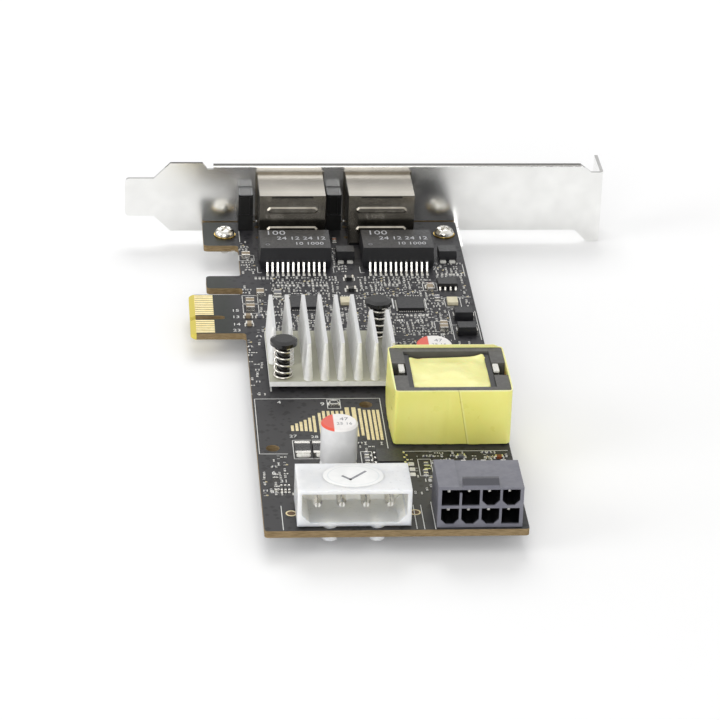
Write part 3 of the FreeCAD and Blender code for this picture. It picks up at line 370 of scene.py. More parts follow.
@dataclass(frozen=True)
class FinPaintedShade(Metal):
    """Finned metal with a painted shade and reflection on the floor between its fins and a grey painted shade
    on the crests of them.
    """

    floor: float = -4.45
    # floor_shade is painted shade and reflection between the fins; the crests get a painted shade as well.
    floor_shade: str = "b9b8a6"
    crest_painted_shade: str = "dcdcdc"

    def draw(self, graph: Graph) -> None:
        """Draws the metal, then paints shade on its crests and on the floor between the fins, which both look
        straight up.
        """
        super().draw(graph)
        # Painted shade: the upward crests turn grey and the floor between the fins takes a darker tint.
        level = graph.ramp(graph.upward(), 0.8, 0.95)
        floor = graph.product(level, graph.ramp(graph.axis("Z"), self.floor + 0.5, self.floor))
        colours = graph.mix(graph.maths("SUBTRACT", level, floor), graph.colour(), self.crest_painted_shade)
        graph.set(Base_Color=graph.mix(floor, colours, self.floor_shade))


@dataclass(frozen=True)
class Moulded(Finish):
    """Moulded plastic with spark-eroded grain, which may let light in."""

    glow: float = 0.0
    reach: float = 1.0
    coat: float = 0.0

    def draw(self, graph: Graph) -> None:
        """Draws plastic with flow marks and grain."""
        super().draw(graph)
        graph.set(Subsurface_Weight=self.glow, Subsurface_Scale=self.reach * MM)
        graph.set(Subsurface_Radius=(1.0, 0.95, 0.85))
        graph.set(Coat_Weight=self.coat, Coat_Roughness=0.15, IOR=1.5)
        graph.bump(graph.noise(0.6, warp=0.5), 0.02)


@dataclass(frozen=True)
class Celled(Moulded):
    """Moulded plastic with painted light inside its cells and painted shade above its roof."""

    low: Triple = (0.0, 0.0, 0.0)
    high: Triple = (1.0, 1.0, 1.0)
    # inside is painted light in the cells: a dark painted shade in grey plastic, a bright painted glow in
    # white plastic.
    inside: str = "08080a"
    roof: float = 100.0
    roof_painted_shade: str = "37373c"
    edge: float = 0.05

    def draw(self, graph: Graph) -> None:
        """Draws the plastic, then the painted shade above its roof and the painted light within a box: deep
        shade in the cells of dark plastic, a glow through white plastic.
        """
        super().draw(graph)
        walls = []
        for name, low, high in zip("XYZ", self.low, self.high):
            place = graph.axis(name)
            walls.append(graph.ramp(place, low, low + self.edge))
            walls.append(graph.ramp(place, high, high - self.edge))
        # Painted shade on what rises above the roof, a latch ramp that faces forward.
        above = graph.ramp(graph.axis("Z"), self.roof, self.roof + 2 * self.edge)
        colours = graph.mix(above, graph.colour(), self.roof_painted_shade)
        # Painted light within the box of the cells.
        graph.set(Base_Color=graph.mix(graph.product(*walls), colours, self.inside))


@dataclass(frozen=True)
class Laminate(Finish):
    """Solder mask over copper on the faces, glass cloth at the sides and resin on the bevelled tongue."""

    # front is a painted sheen: the mask turns lighter and warmer toward the front.
    front: str = "2a2928"
    pour: str = "232326"
    track: str = "4f4e50"
    ear: str = "20241f"
    side: str = "94805f"
    side_layer: str = "6f5d40"
    bevel: str = "d2c25c"
    bevel_edge: float = -44.15
    ear_edge: float = -33.2
    ear_blend: float = 4.0
    front_sheen_blend: Pair = (-75.0, -125.0)
    pour_scale: float = 0.13
    track_scale: float = 0.55
    copper: float = 0.3
    weave: float = 1.1

    def draw(self, graph: Graph) -> None:
        """Draws mask on faces that look up or down, cloth on the sides and yellow resin at the bevel."""
        flat = graph.ramp(graph.maths("ABSOLUTE", graph.upward()), 0.5, 0.6)
        layers = graph.noise(1.0, stretch=(0.6, 0.6, 7.0))
        cloth = graph.mix(graph.ramp(layers, *CLOUDY), self.side, self.side_layer)
        bare = graph.ramp(graph.axis("X"), self.bevel_edge + 0.05, self.bevel_edge - 0.05)
        colours = graph.mix(bare, graph.mix(flat, cloth, self.mask(graph)), self.bevel)
        graph.set(Base_Color=colours, Specular_IOR_Level=0.24)
        graph.set(Roughness=graph.ramp(flat, 0.0, 1.0, 0.8, 0.5))
        threads = [
            graph.add("TexWave", {"Vector": graph.stretched(way), "Scale": self.weave}, bands_direction=name)
            for name, way in (("X", (1, 0, 0)), ("Y", (0, 1, 0)))
        ]
        graph.bump(graph.product(*(thread.outputs["Fac"] for thread in threads)), 0.006)
        graph.bump(graph.noise(6.0, 3.0), 0.003)

    def mask(self, graph: Graph) -> Socket:
        """The mask: cloudy, lighter and warmer to the front with a painted sheen, with copper pours and
        tracks under it and dark ears.
        """
        colours = graph.mix(graph.ramp(graph.noise(0.12, 3.0, warp=0.4), *CLOUDY), self.colour, self.shade)
        # Painted sheen toward the front.
        colours = graph.mix(graph.ramp(graph.axis("Y"), *self.front_sheen_blend), colours, self.front)
        pours = graph.ramp(graph.cells(self.pour_scale, "Color", "CHEBYCHEV"), 0.45, 0.47)
        colours = graph.mix(graph.product(pours, self.copper), colours, self.pour)
        lanes = graph.ramp(graph.cells(self.track_scale, "Distance", "MANHATTAN"), 0.42, 0.5)
        colours = graph.mix(graph.product(lanes, self.copper), colours, self.track)
        ears = graph.ramp(graph.axis("X"), self.ear_edge, self.ear_edge - self.ear_blend)
        return graph.mix(ears, colours, self.ear)


@dataclass(frozen=True)
class Tape(Finish):
    """Polyester tape wound in layers, with soft creases, a painted highlight along its rim and the end of its
    last layer as a painted shadow line beside a painted highlight.
    """

    rim: float = 100.0
    painted_highlight: str = "f6f3a6"
    seam_top: float = 100.0
    seam_slope: float = -0.18
    seam_behind: float = -121.0
    seam_painted_shadow: str = "a9a24e"

    def draw(self, graph: Graph) -> None:
        """Draws tape with broad shading, creases along its wrap, a painted highlight on the rim, the seam in
        front as a painted shadow and highlight, and a satin shine.
        """
        super().draw(graph)
        graph.bump(graph.noise(0.35, 4.0, stretch=(1.0, 1.0, 0.25), warp=0.6), 0.12, 0.6)
        graph.bump(graph.noise(0.1, 1.0), 0.5, 0.5)
        # Painted highlight along the top rim.
        upper = graph.ramp(graph.axis("Z"), self.rim - 0.3, self.rim - 0.1)
        colours = graph.mix(upper, graph.colour(), self.painted_highlight)
        # The seam where the last layer ends: a painted shadow line and a painted highlight beside it.
        seam = graph.maths("ADD", graph.product(graph.axis("Z"), self.seam_slope), self.seam_top)
        beside = graph.maths("SUBTRACT", graph.axis("X"), seam)
        front = graph.ramp(graph.axis("Y"), self.seam_behind, self.seam_behind - 0.2)
        for middle, reach, share, shade in (
            (0.0, 0.16, 0.55, self.seam_painted_shadow),
            (0.28, 0.2, 0.6, self.painted_highlight),
        ):
            line = graph.ramp(graph.away(beside, middle), 0.06, reach, 1.0, 0.0)
            colours = graph.mix(graph.product(line, front, share), colours, shade)
        graph.set(Base_Color=colours, Subsurface_Weight=0.15, Subsurface_Scale=0.6 * MM)
        graph.set(Coat_Weight=0.15, Coat_Roughness=0.3)


@dataclass(frozen=True)
class Sleeve(Finish):
    """The aluminium can of a capacitor: grey sides, and a white top with a red mark over one segment."""

    middle: float = 0.0
    radius: float = 4.0
    top: float = 5.2
    lid: tuple[str, str] = ("f4f1ee", "e6e2df")
    mark: str = "e0533c"

    def draw(self, graph: Graph) -> None:
        """Draws the sides, the top and the mark."""
        super().draw(graph)
        across = graph.maths("SUBTRACT", graph.axis("X"), self.middle)
        segment = graph.ramp(across, -self.radius * 0.34, -self.radius * 0.3, 1.0, 0.0)
        lid = graph.mix(segment, graph.mix(graph.noise(1.2), *self.lid), self.mark)
        lifted = graph.ramp(graph.axis("Z"), self.top - 0.45, self.top - 0.35)
        graph.set(Base_Color=graph.mix(lifted, graph.colour(), lid), Coat_Weight=0.25, Coat_Roughness=0.2)


@dataclass(frozen=True)
class Ferrite(Finish):
    """Fired ferrite: a dull dark grey with fine pits."""

    def draw(self, graph: Graph) -> None:
        """Draws ferrite with speckles and pits."""
        super().draw(graph)
        graph.bump(graph.ramp(graph.cells(5.0, "Distance"), 0.0, 0.25), 0.02)


@dataclass(frozen=True)
class Label(Finish):
    """A pale paper label with a thin printed ring."""

    centre: Pair = (0.0, 0.0)
    half: Pair = (1.0, 1.0)
    ring: float = 0.84
    ink: str = "dfe2e1"

    def draw(self, graph: Graph) -> None:
        """Draws the paper and one printed line that follows its edge."""
        super().draw(graph)
        squares = []
        for name, middle, half in zip("XY", self.centre, self.half):
            share = graph.maths("DIVIDE", graph.maths("SUBTRACT", graph.axis(name), middle), half)
            squares.append(graph.product(share, share))
        distance = graph.maths("SQRT", graph.maths("ADD", *squares))
        line = graph.ramp(graph.away(distance, self.ring), 0.02, 0.03, 1.0, 0.0)
        graph.set(Base_Color=graph.mix(line, graph.colour(), self.ink))


class Finishes(Enum):
    """Every finish on the card: its name, its slot, two colours and its roughness come first."""

    # The bracket's upward flange faces carry a painted dark reflection.
    BRACKET = RoofPaintedShading(
        "bracket_plating", "bracket_steel", "f6f6f4", "ededeb", 0.19,
        patch=0.2, grain=2.5, depth=0.0006, rolled=(0.15, 1, 1), smudge=0.012, above=7.8,
    )
    SCREW = Metal("screw_plating", "screw_nickel", "e9e7e2", "cfccc4", 0.2, patch=1.0, grain=6.0)
    BRASS = Metal("screw_brass", "screw_nickel", "cdb05e", "b8994a", 0.25, patch=1.0, grain=6.0)
    MASK = Laminate("solder_mask", "laminate", "1c1b20", "222126")
    GOLD = Metal("gold_plating", "gold", "fbedbb", "efdb9a", 0.34, patch=1.0, grain=6.0, metallic=0.7)
    STRIP = Finish("gold_strips", "gold", "f0e2b6", "d6c48f", 0.45, patch=1.6, grain=9.0, depth=0.02)
    # The shield tops carry painted shade near the plate and a painted bright reflection in front.
    SHIELD = RoofPaintedShading(
        "shield_plating", "shield_nickel", "b4aea2", "9c968a", 0.2,
        grain=3.0, depth=0.003, rolled=(1, 1, 0.08),
        above=6.2, behind=-2.5, before=-13.0, near_painted_shading="6e685e", far_painted_shading="f8f2e6",
    )
    BLACK = Moulded(
        "black_moulding", "black_plastic", "0b0b0b", "131313", 0.34, 0.06,
        patch=0.8, grain=9.0, coat=0.05,
    )
    CAP = Moulded(
        "pin_moulding", "black_plastic", "0b0b0b", "131313", 0.2, 0.05,
        patch=0.8, grain=9.0, coat=0.35,
    )
    LENS = Moulded(
        "light_pipe", "lens_plastic", "d9dcd6", "c9cdc4", 0.2, 0.05,
        patch=0.5, grain=6.0, depth=0.002, glow=0.5, reach=1.5, coat=0.3,
    )
    PACKAGE = Moulded(
        "moulded_package", "package_black", "1a1a1d", "202023", 0.48, 0.08, patch=0.5, grain=7.0, depth=0.008
    )
    JET = Moulded(
        "jet_package", "package_black", "0c0c0d", "121213", 0.42, 0.08, patch=0.5, grain=7.0, depth=0.008
    )
    TIN = Metal("bright_tin", "tinned", "efede8", "dad7d0", 0.25, patch=1.5)
    POST = Metal("tinned_posts", "tinned", "f4f2ec", "e6e3db", 0.4, patch=1.5, metallic=0.1)
    SOLDER = Finish("soldered_pads", "tinned", "f0efe9", "cfcdc5", 0.35, patch=2.5, grain=9.0, depth=0.03)
    FIN = FinPaintedShade(
        "fin_aluminium", "heatsink_aluminium", "fbfbfa", "ececea",
        patch=0.8, grain=5.0, depth=0.06, rolled=(5.0, 5.0, 0.2), metallic=0.1,
    )
    PAD = Finish("heat_pad", "pad_grey", "8c8f92", "7f8386", 0.8)
    SPRING = Metal("spring_wire", "spring_steel", "e8e5de", "d2cdc4", 0.18, patch=2.0, grain=9.0, depth=0.002)
    FERRITE = Ferrite("ferrite", "ferrite", "5a5956", "4e4d4a", 0.6)
    WINDING = Tape("winding_tape", "winding_tape", "f3efa0", "ebe78c", 0.4, 0.08, patch=0.2)
    CORE_TAPE = Tape(
        "wrapped_tape", "core_tape", "f6f08c", "eee97c", 0.34, 0.08, patch=0.1, rim=6.6, seam_top=12.49
    )
    SLEEVE_FRONT = Sleeve("front_sleeve", "can_sleeve", "e6e6e6", "dadada", 0.35, 0.05, middle=-15.5)
    SLEEVE_REAR = Sleeve("rear_sleeve", "can_sleeve", "e6e6e6", "dadada", 0.35, 0.05, middle=8.5)
    RUBBER = Finish("seal_rubber", "seal_rubber", "2a2a2a", "333333", 0.75)
    # A painted glow inside the cells.
    WHITE = Celled(
        "milky_nylon", "white_nylon", "eff0f1", "e5e7e9", 0.32, 0.06,
        grain=6.0, glow=1.0, reach=5.0, coat=0.1,
        low=(-24.6, -157.7, -6.3), high=(-3.0, -147.5, 1.6), inside="fffdf0",
    )
    # Painted shade in the cells and on the latch ramp above the roof.
    GREY = Celled(
        "slate_nylon", "grey_nylon", "72727a", "666670", 0.45, 0.08, grain=7.0, depth=0.01,
        low=(3.95, -157.55, -6.4), high=(21.2, -146.5, 2.55), roof=2.9, roof_painted_shade="47474d",
    )
    CRYSTAL = Finish("crystal_lid", "crystal_metal", "e0d8bc", "cfc6a6", 0.4, 0.08, patch=1.0, grain=6.0)
    CERAMIC = Finish("tan_ceramic", "ceramic_tan", "9c8d76", "8a795f")
    BROWN = Finish("brown_ceramic", "ceramic_tan", "8a4b2a", "74401f", 0.45)
    SLATE = Finish("grey_ceramic", "ceramic_tan", "6f7076", "5f6066")
    RESISTOR = Finish("resistor_glaze", "resistor_black", "242424", "2e2e2e", 0.3)
    INK = Finish("board_print", "laminate", "e9e9e6", "d6d6d2", 0.6, grain=12.0, depth=0.006)
    FAINT_INK = Finish("package_print", "package_black", "8f9094", "7c7d81", 0.6, grain=12.0)
    PRINT = Finish("white_print", "package_black", "c6c7ca", "b2b3b6", 0.6, grain=12.0)
    PAPER = Label(
        "round_label", "white_nylon", "f3f3f1", "e6e7e5", 0.42, centre=(-13.8, -151.56), half=(6.4, 4.9)
    )
    HOLE = Finish("plated_hole", "laminate", "6b5138", "4e3a26", 0.7)


def coat(finish: Finishes, *nodes: str) -> None:
    """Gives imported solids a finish.

    Args:
        finish: the finish.
        nodes: the names of the solids.
    """
    material = finish.value.material()
    for name in nodes:
        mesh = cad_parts[name].data
        if not mesh.materials:
            mesh.materials.append(material)
        for index in range(len(mesh.materials)):
            mesh.materials[index] = material
        LOG.info("%s: %s", name, material.name)


# ---------------------------------------------------------------- surfaces


@dataclass
class Shell:
    """Points and faces of one or more closed surfaces, in board millimetres."""

    points: np.ndarray
    faces: list[list[int]]

    def moved(self, across: float, back: float, up: float) -> "Shell":
        """The shell carried by a distance on each axis."""
        return Shell(self.points + np.array([across, back, up]), self.faces)


def joined(shells: list[Shell]) -> Shell:
    """One shell of several, in order.

    Args:
        shells: the shells.

    Returns:
        All their points and faces.
    """
    starts = np.cumsum([0] + [len(shell.points) for shell in shells[:-1]])
    faces = []
    for start, shell in zip(starts, shells):
        faces.extend((np.asarray(face) + start).tolist() for face in shell.faces)
    return Shell(np.concatenate([shell.points for shell in shells]), faces)


def net(rows: int, columns: int, round_rows: bool = False, round_columns: bool = True) -> np.ndarray:
    """Corners of the four-sided faces between points that lie row by row.

    Args:
        rows: how many rows there are.
        columns: how many points there are in a row.
        round_rows: whether the last row joins the first.
        round_columns: whether each row closes on itself.

    Returns:
        One line of four point numbers to each face.
    """
    down = np.arange(rows if round_rows else rows - 1)
    along = np.arange(columns if round_columns else columns - 1)
    row, column = np.meshgrid(down, along, indexing="ij")
    below, beside = (row + 1) % rows, (column + 1) % columns
    upper, lower = row * columns, below * columns
    corners = [upper + column, upper + beside, lower + beside, lower + column]
    return np.stack(corners, -1).reshape(-1, 4)


def stacked(rings: np.ndarray) -> Shell:
    """A closed shell whose sides join rings of points and whose ends are flat.

    Args:
        rings: an array of rings by points by three, each anticlockwise from above, lowest first.

    Returns:
        The shell.
    """
    count, around = rings.shape[:2]
    faces = net(count, around).tolist()
    faces.append(list(range(around))[::-1])
    faces.append(list(range((count - 1) * around, count * around)))
    return Shell(rings.reshape(-1, 3), faces)


def tube(path: np.ndarray, radius: float, sides: int, reference: np.ndarray) -> Shell:
    """A round wire: a circle carried along a path, square to it.

    Args:
        path: the points of the wire's middle.
        radius: the wire's radius.
        sides: how many points the circle has.
        reference: a direction that the path never takes.

    Returns:
        The closed shell.
    """
    along = np.gradient(path, axis=0)
    along /= np.linalg.norm(along, axis=1, keepdims=True)
    side = np.cross(along, reference)
    side /= np.linalg.norm(side, axis=1, keepdims=True)
    up = np.cross(side, along)
    angle = np.arange(sides) * TURN / sides
    circle = np.cos(angle)[None, :, None] * side[:, None] + np.sin(angle)[None, :, None] * up[:, None]
    return stacked((path[:, None] + radius * circle)[::-1])


def plates(outlines: np.ndarray, low: float, high: float) -> Shell:
    """Thin plates of any outline, all with the same number of corners.

    Args:
        outlines: plates by corners by two, anticlockwise in x and d.
        low: the height of their undersides.
        high: the height of their tops.

    Returns:
        All the plates as one shell.
    """
    many, corners = outlines.shape[:2]
    level = np.broadcast_to(np.array([low, high])[None, :, None, None], (many, 2, corners, 1))
    flat = np.broadcast_to(outlines[:, None], (many, 2, corners, 2))
    points = np.concatenate([flat, level], -1).reshape(-1, 3)
    starts = (np.arange(many) * 2 * corners)[:, None]
    sides = (net(2, corners)[None] + starts[:, :, None]).reshape(-1, 4).tolist()
    under = (starts + np.arange(corners)[::-1]).tolist()
    over = (starts + corners + np.arange(corners)).tolist()
    return Shell(points, sides + under + over)


def lines(ends: np.ndarray, width: float, low: float, high: float) -> Shell:
    """Straight printed lines with square ends.

    Args:
        ends: x and d of both ends of each line, four numbers to a row.
        width: their width.
        low: the height of their undersides.
        high: the height of their tops.

    Returns:
        All the lines as one shell.
    """
    start, end = ends[:, :2], ends[:, 2:]
    along = (end - start) / np.linalg.norm(end - start, axis=1, keepdims=True) * width / 2
    side = np.stack([-along[:, 1], along[:, 0]], -1)
    corners = [start - along - side, end + along - side, end + along + side, start - along + side]
    return plates(np.stack(corners, 1), low, high)


def repeated(
    shell: Shell, places: np.ndarray, turns: np.ndarray | None = None, sizes: np.ndarray | None = None
) -> Shell:
    """Copies of a shell, each scaled and then turned about its own upright axis.

    Args:
        shell: the shell around its own origin.
        places: x, d and h of each copy.
        turns: the turn of each in radians.
        sizes: the three scale factors of each.

    Returns:
        All the copies as one shell.
    """
    count = len(places)
    turns = np.zeros(count) if turns is None else turns
    sizes = np.ones((count, 3)) if sizes is None else sizes
    scaled = shell.points[None] * sizes[:, None]
    across, back, up = np.moveaxis(scaled, -1, 0)
    cosine, sine = np.cos(turns)[:, None], np.sin(turns)[:, None]
    copies = np.stack([across * cosine - back * sine, across * sine + back * cosine, up], -1)
    return joined([Shell(points, shell.faces) for points in copies + places[:, None]])


def paired(shell: Shell, reach: float) -> Shell:
    """Two copies of a shell, left and right of the origin by a reach."""
    return joined([shell.moved(side * reach, 0.0, 0.0) for side in (-1, 1)])


def on_board(rows: Places | list[Pair] | np.ndarray) -> np.ndarray:
    """Places on the board: x and d of each row, with a height of nought."""
    return np.column_stack([np.asarray(rows), np.zeros(len(rows))])


def centred(many: int, pitch: float) -> np.ndarray:
    """Steps of a row of places about its middle."""
    return (np.arange(many) - (many - 1) / 2) * pitch


def bell(value: np.ndarray, middle: float, width: float) -> np.ndarray:
    """One at the middle and smoothly down to nought on both sides, past the width."""
    return np.exp(-(((value - middle) / width) ** 2))


def rounded_outline(width: float, depth: float, radius: float, steps: int = 4) -> np.ndarray:
    """A rectangle with rounded corners about the origin, anticlockwise.

    Args:
        width: its width.
        depth: its depth.
        radius: the radius of its corners.
        steps: how many faces a corner has.

    Returns:
        Its points.
    """
    angle = np.arange(4)[:, None] * QUARTER + np.linspace(0, QUARTER, steps + 1)[None]
    signs = np.array([[1, 1], [-1, 1], [-1, -1], [1, -1]])
    centre = signs * (np.array([width, depth]) / 2 - radius)
    return (centre[:, None] + radius * np.stack([np.cos(angle), np.sin(angle)], -1)).reshape(-1, 2)


def pillow(width: float, depth: float, height: float, edge: float = 0.06) -> Shell:
    """A low block about the origin whose upper edges are softened: its outline holds, then draws in.

    Args:
        width: its width.
        depth: its depth.
        height: its height.
        edge: how far the outline draws in at the top.

    Returns:
        The closed shell, standing on height nought.
    """
    outer = rounded_outline(width, depth, edge * 1.5, 1)
    inner = rounded_outline(width - edge * 2, depth - edge * 2, edge, 1)
    rings = [
        np.column_stack([outline, np.full(len(outline), level)])
        for outline, level in ((outer, 0.0), (outer, height - edge), (inner, height))
    ]
    return stacked(np.array(rings))


def turned(profile: np.ndarray, sides: int) -> Shell:
    """A shape turned about the upright axis: each radius and height of the profile makes one ring.

    Args:
        profile: a radius and a height to a row, lowest first.
        sides: how many points a ring has.

    Returns:
        The closed shell.
    """
    angle = np.arange(sides) * TURN / sides
    circle = np.stack([np.cos(angle), np.sin(angle)], -1)
    level = np.broadcast_to(profile[:, None, 1:], (len(profile), sides, 1))
    return stacked(np.concatenate([profile[:, None, :1] * circle[None], level], -1))


def disc(radius: float, low: float, high: float, sides: int = 10) -> Shell:
    """A flat round plate about the origin."""
    return turned(np.array([[radius, low], [radius, high]]), sides)


def hoop(inner: float, outer: float, low: float, high: float, sides: int = 24) -> Shell:
    """A flat ring about the origin: its square section is carried round a circle."""
    angle = np.arange(sides)[:, None] * TURN / sides
    radius = np.array([inner, outer, outer, inner])[None]
    level = np.broadcast_to(np.array([low, low, high, high])[None], (sides, 4))
    points = np.stack([radius * np.cos(angle), radius * np.sin(angle), level], -1).reshape(-1, 3)
    return Shell(points, net(sides, 4, round_rows=True).tolist())


def frames(boxes: np.ndarray, width: float, low: float, high: float) -> Shell:
    """Printed rectangles: four lines round each box of least x, least d, greatest x and greatest d."""
    sides = boxes[:, [[0, 1, 2, 1], [2, 1, 2, 3], [2, 3, 0, 3], [0, 3, 0, 1]]].reshape(-1, 4)
    return lines(sides, width, low, high)


def figures(text: str, size: float, thickness: float = INK_HIGH) -> Shell:
    """Raised plain numbers about the origin, read from the front of the board.

    Args:
        text: the numbers.
        size: their height.
        thickness: how far they stand up.

    Returns:
        The numbers' surface, standing on height nought.
    """
    curve = bpy.data.curves.new("figures", "FONT")
    curve.body, curve.size, curve.extrude, curve.resolution_u = text, size, thickness / 2, 2
    curve.align_x, curve.align_y = "CENTER", "CENTER"
    holder = bpy.data.objects.new("figures", curve)
    mesh = bpy.data.meshes.new_from_object(holder)
    points = np.empty(len(mesh.vertices) * 3)
    mesh.vertices.foreach_get("co", points)
    points = points.reshape(-1, 3) * np.array([1.0, -1.0, 1.0]) + np.array([0.0, 0.0, thickness / 2])
    faces = [list(face.vertices)[::-1] for face in mesh.polygons]
    bpy.data.objects.remove(holder)
    bpy.data.curves.remove(curve)
    bpy.data.meshes.remove(mesh)
    return Shell(points, faces)


def numbered(marks: Marks | list[tuple], height: float = 0.0) -> Shell:
    """Plain numbers at a height: the text, x, d and size of each."""
    return joined([figures(text, size).moved(x, d, height) for text, x, d, size in marks])


def make(
    name: str, shell: Shell, finish: Finishes, sharp: float = 35.0, replaces: tuple[str, ...] = ()
) -> bpy.types.Object:
    """Makes a piece of the card: its mesh in place, its finish, its body and what it stands for.

    Args:
        name: the piece's name.
        shell: its surface in board millimetres.
        finish: its finish.
        sharp: the angle in degrees past which an edge stays sharp.
        replaces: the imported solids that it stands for.

    Returns:
        The new object.
    """
    mesh = bpy.data.meshes.new(name)
    across, back, up = shell.points.T * MM
    points = np.stack([across, PLATE_FACE - back, up + BOARD_TOP], -1)
    faces = [face[::-1] for face in shell.faces]
    mesh.from_pydata(points.tolist(), [], faces)
    mesh.polygons.foreach_set("use_smooth", np.ones(len(mesh.polygons), bool))
    mesh.set_sharp_from_angle(angle=math.radians(sharp))
    mesh.update()
    mesh.materials.append(finish.value.material())
    piece = bpy.data.objects.new(name, mesh)
    bpy.context.scene.collection.objects.link(piece)
    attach(piece, BODY)
    if replaces:
        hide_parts(*replaces)
    LOG.info("%s: %d faces in %s", name, len(faces), finish.value.name)
    return piece


# ---------------------------------------------------------------- places read off the photo

# x and d of both ends of each printed line.
PRINTED_LINES = (
    (-32.06, 97.9, -3.83, 97.9),
    (-32.06, 97.9, -32.09, 124.0),
    (-32.09, 124.0, -25.97, 124.1),
    (-3.83, 97.9, -3.82, 122.9),
    (-3.82, 123.3, 22.3, 123.3),
    (-28.6, 147.3, -28.6, 157.5),
    (-0.6, 147.4, -0.6, 157.5),
    (1.0, 147.4, 1.0, 157.7),
    (3.3, 146.1, 3.3, 157.7),
    (-28.3, 27.4, -28.3, 30.6),
    (-28.3, 30.6, -27.4, 30.6),
    (-3.2, 27.4, -3.2, 30.8),
    (-3.2, 30.8, -2.3, 30.8),
    (-32.0, 6.0, -32.0, 12.4),
    (-9.7, 27.4, -9.7, 30.6),
    (15.5, 27.4, 15.5, 30.6),
    (22.3, 26.0, 22.3, 33.0),
    (17.0, 44.9, 22.4, 44.9),
    (16.3, 60.3, 22.6, 60.3),
    (16.3, 52.8, 16.3, 68.2),
    (22.6, 52.8, 22.6, 68.2),
    (1.6, 98.4, 1.6, 89.0),
)

# Least x, least d, greatest x and greatest d of each printed frame.
PRINTED_FRAMES = (
    (-24.6, 117.8, -20.35, 126.4),
    (-20.35, 117.8, -16.2, 126.4),
    (-15.8, 98.4, -12.9, 102.8),
    (-32.6, 20.4, -28.9, 23.6),
    (-32.7, 43.6, -29.0, 48.0),
    (-32.7, 48.6, -29.0, 53.4),
    (11.4, 36.9, 14.8, 41.3),
    (12.3, 58.3, 16.0, 63.9),
    (-28.2, 75.0, -28.0, 94.2),
    (-10.0, 123.3, -7.6, 128.7),
    (2.2, 127.0, 5.0, 134.6),
    (15.9, 45.3, 19.7, 50.4),
)

# x, first d and last d of each gold strip: the narrow ones, then the wide ones.
NARROW_STRIPS = (
    (-24.25, 110.8, 113.4),
    (-23.25, 109.9, 113.4),
    (-22.25, 109.1, 113.5),
    (-21.25, 108.2, 113.5),
    (-20.25, 107.2, 113.7),
    (-19.25, 106.3, 114.0),
    (-17.95, 104.9, 118.0),
    (-16.95, 104.0, 118.0),
    (-15.9, 104.0, 118.0),
    (-14.9, 104.0, 118.0),
    (-13.9, 104.0, 118.0),
    (-12.85, 104.0, 118.0),
    (-8.8, 102.9, 115.8),
    (-7.75, 103.6, 117.8),
    (-6.7, 103.6, 117.9),
    (-5.7, 103.6, 117.9),
    (-4.75, 103.6, 117.9),
)
WIDE_STRIPS = ((-11.6, 102.3, 116.2), (-10.1, 102.3, 116.2))

# Least x, greatest x, least d and greatest d of each zone of fine parts, and the share of places in use.
FINE_ZONES = (
    (-24.8, 22.0, 33.6, 66.6, 0.86),
    (-32.0, -25.2, 39.0, 66.6, 0.5),
    (-32.0, -29.2, 67.0, 96.5, 0.35),
    (1.8, 22.2, 66.9, 98.3, 0.5),
    (-9.4, -6.6, 16.6, 31.0, 0.8),
    (-31.8, -28.6, 12.6, 32.0, 0.5),
    (15.6, 22.2, 26.0, 32.6, 0.8),
    (-31.6, -25.4, 125.6, 142.6, 0.4),
    (-3.0, 21.8, 124.2, 143.0, 0.42),
    (-24.5, -10.6, 137.4, 141.4, 0.3),
    (-9.8, -4.4, 119.5, 142.6, 0.45),
)

# Least x, least d, greatest x and greatest d of what larger parts cover inside those zones.
COVERED = (
    (-22.1, 44.6, -14.1, 53.3),
    (3.2, 45.0, 11.6, 53.4),
    (15.4, 44.9, 20.0, 50.8),
    (-10.2, 45.2, -5.8, 50.2),
    (13.8, 33.6, 20.6, 44.4),
    (15.6, 52.8, 23.0, 68.6),
    (-8.4, 33.0, -4.4, 43.6),
    (-5.4, 66.0, 1.0, 74.0),
    (11.2, 36.6, 14.9, 41.5),
    (12.2, 58.2, 16.1, 64.1),
    (-32.8, 43.4, -28.8, 61.8),
    (-24.2, 36.9, -19.6, 39.1),
    (-16.7, 36.9, -12.1, 39.1),
    (1.1, 36.9, 5.3, 39.1),
    (4.0, 89.4, 13.0, 98.4),
    (-31.0, 119.0, -26.8, 123.6),
    (-29.0, 138.4, -25.6, 141.8),
    (-9.0, 99.0, -5.4, 103.0),
    (2.2, 126.9, 5.1, 134.7),
    (-0.6, 128.2, 1.6, 135.0),
    (-10.1, 123.2, -7.5, 128.8),
    (-7.8, 122.8, -0.2, 132.4),
    (-26.4, 67.0, 1.6, 96.6),
)

# Middle x, d and how many dots there are in each row.
DOT_ROWS = (
    (-27.05, 33.8, 5),
    (-21.8, 38.0, 5),
    (-14.3, 38.0, 5),
    (3.3, 37.9, 5),
    (18.7, 32.2, 5),
    (-8.2, 54.4, 5),
    (8.6, 55.0, 6),
)

# Text, x, d and size of each number on the board.
BOARD_NUMBERS = (
    ("15", -34.6, 51.9, 1.9),
    ("13", -34.6, 55.4, 1.9),
    ("14", -34.6, 59.4, 1.9),
    ("23", -34.6, 62.6, 1.9),
    ("9", -16.9, 100.6, 2.2),
    ("27", -24.3, 115.9, 1.7),
    ("28", -19.6, 116.3, 1.7),
    ("4", -26.6, 99.6, 1.9),
    ("6", -29.4, 132.6, 1.9),
    ("31", -27.4, 136.4, 1.9),
    ("32", -29.6, 141.0, 1.9),
    ("18", 3.6, 136.6, 1.9),
    ("8", 13.6, 65.4, 1.9),
    ("41", 4.4, 57.8, 1.9),
    ("42", 8.9, 57.8, 1.9),
    ("2", 2.6, 96.6, 2.0),
    ("55", 17.6, 126.6, 1.9),
    ("56", 11.8, 128.8, 1.9),
    ("7", -33.9, 18.6, 2.2),
    ("1", -30.7, 26.6, 1.9),
)

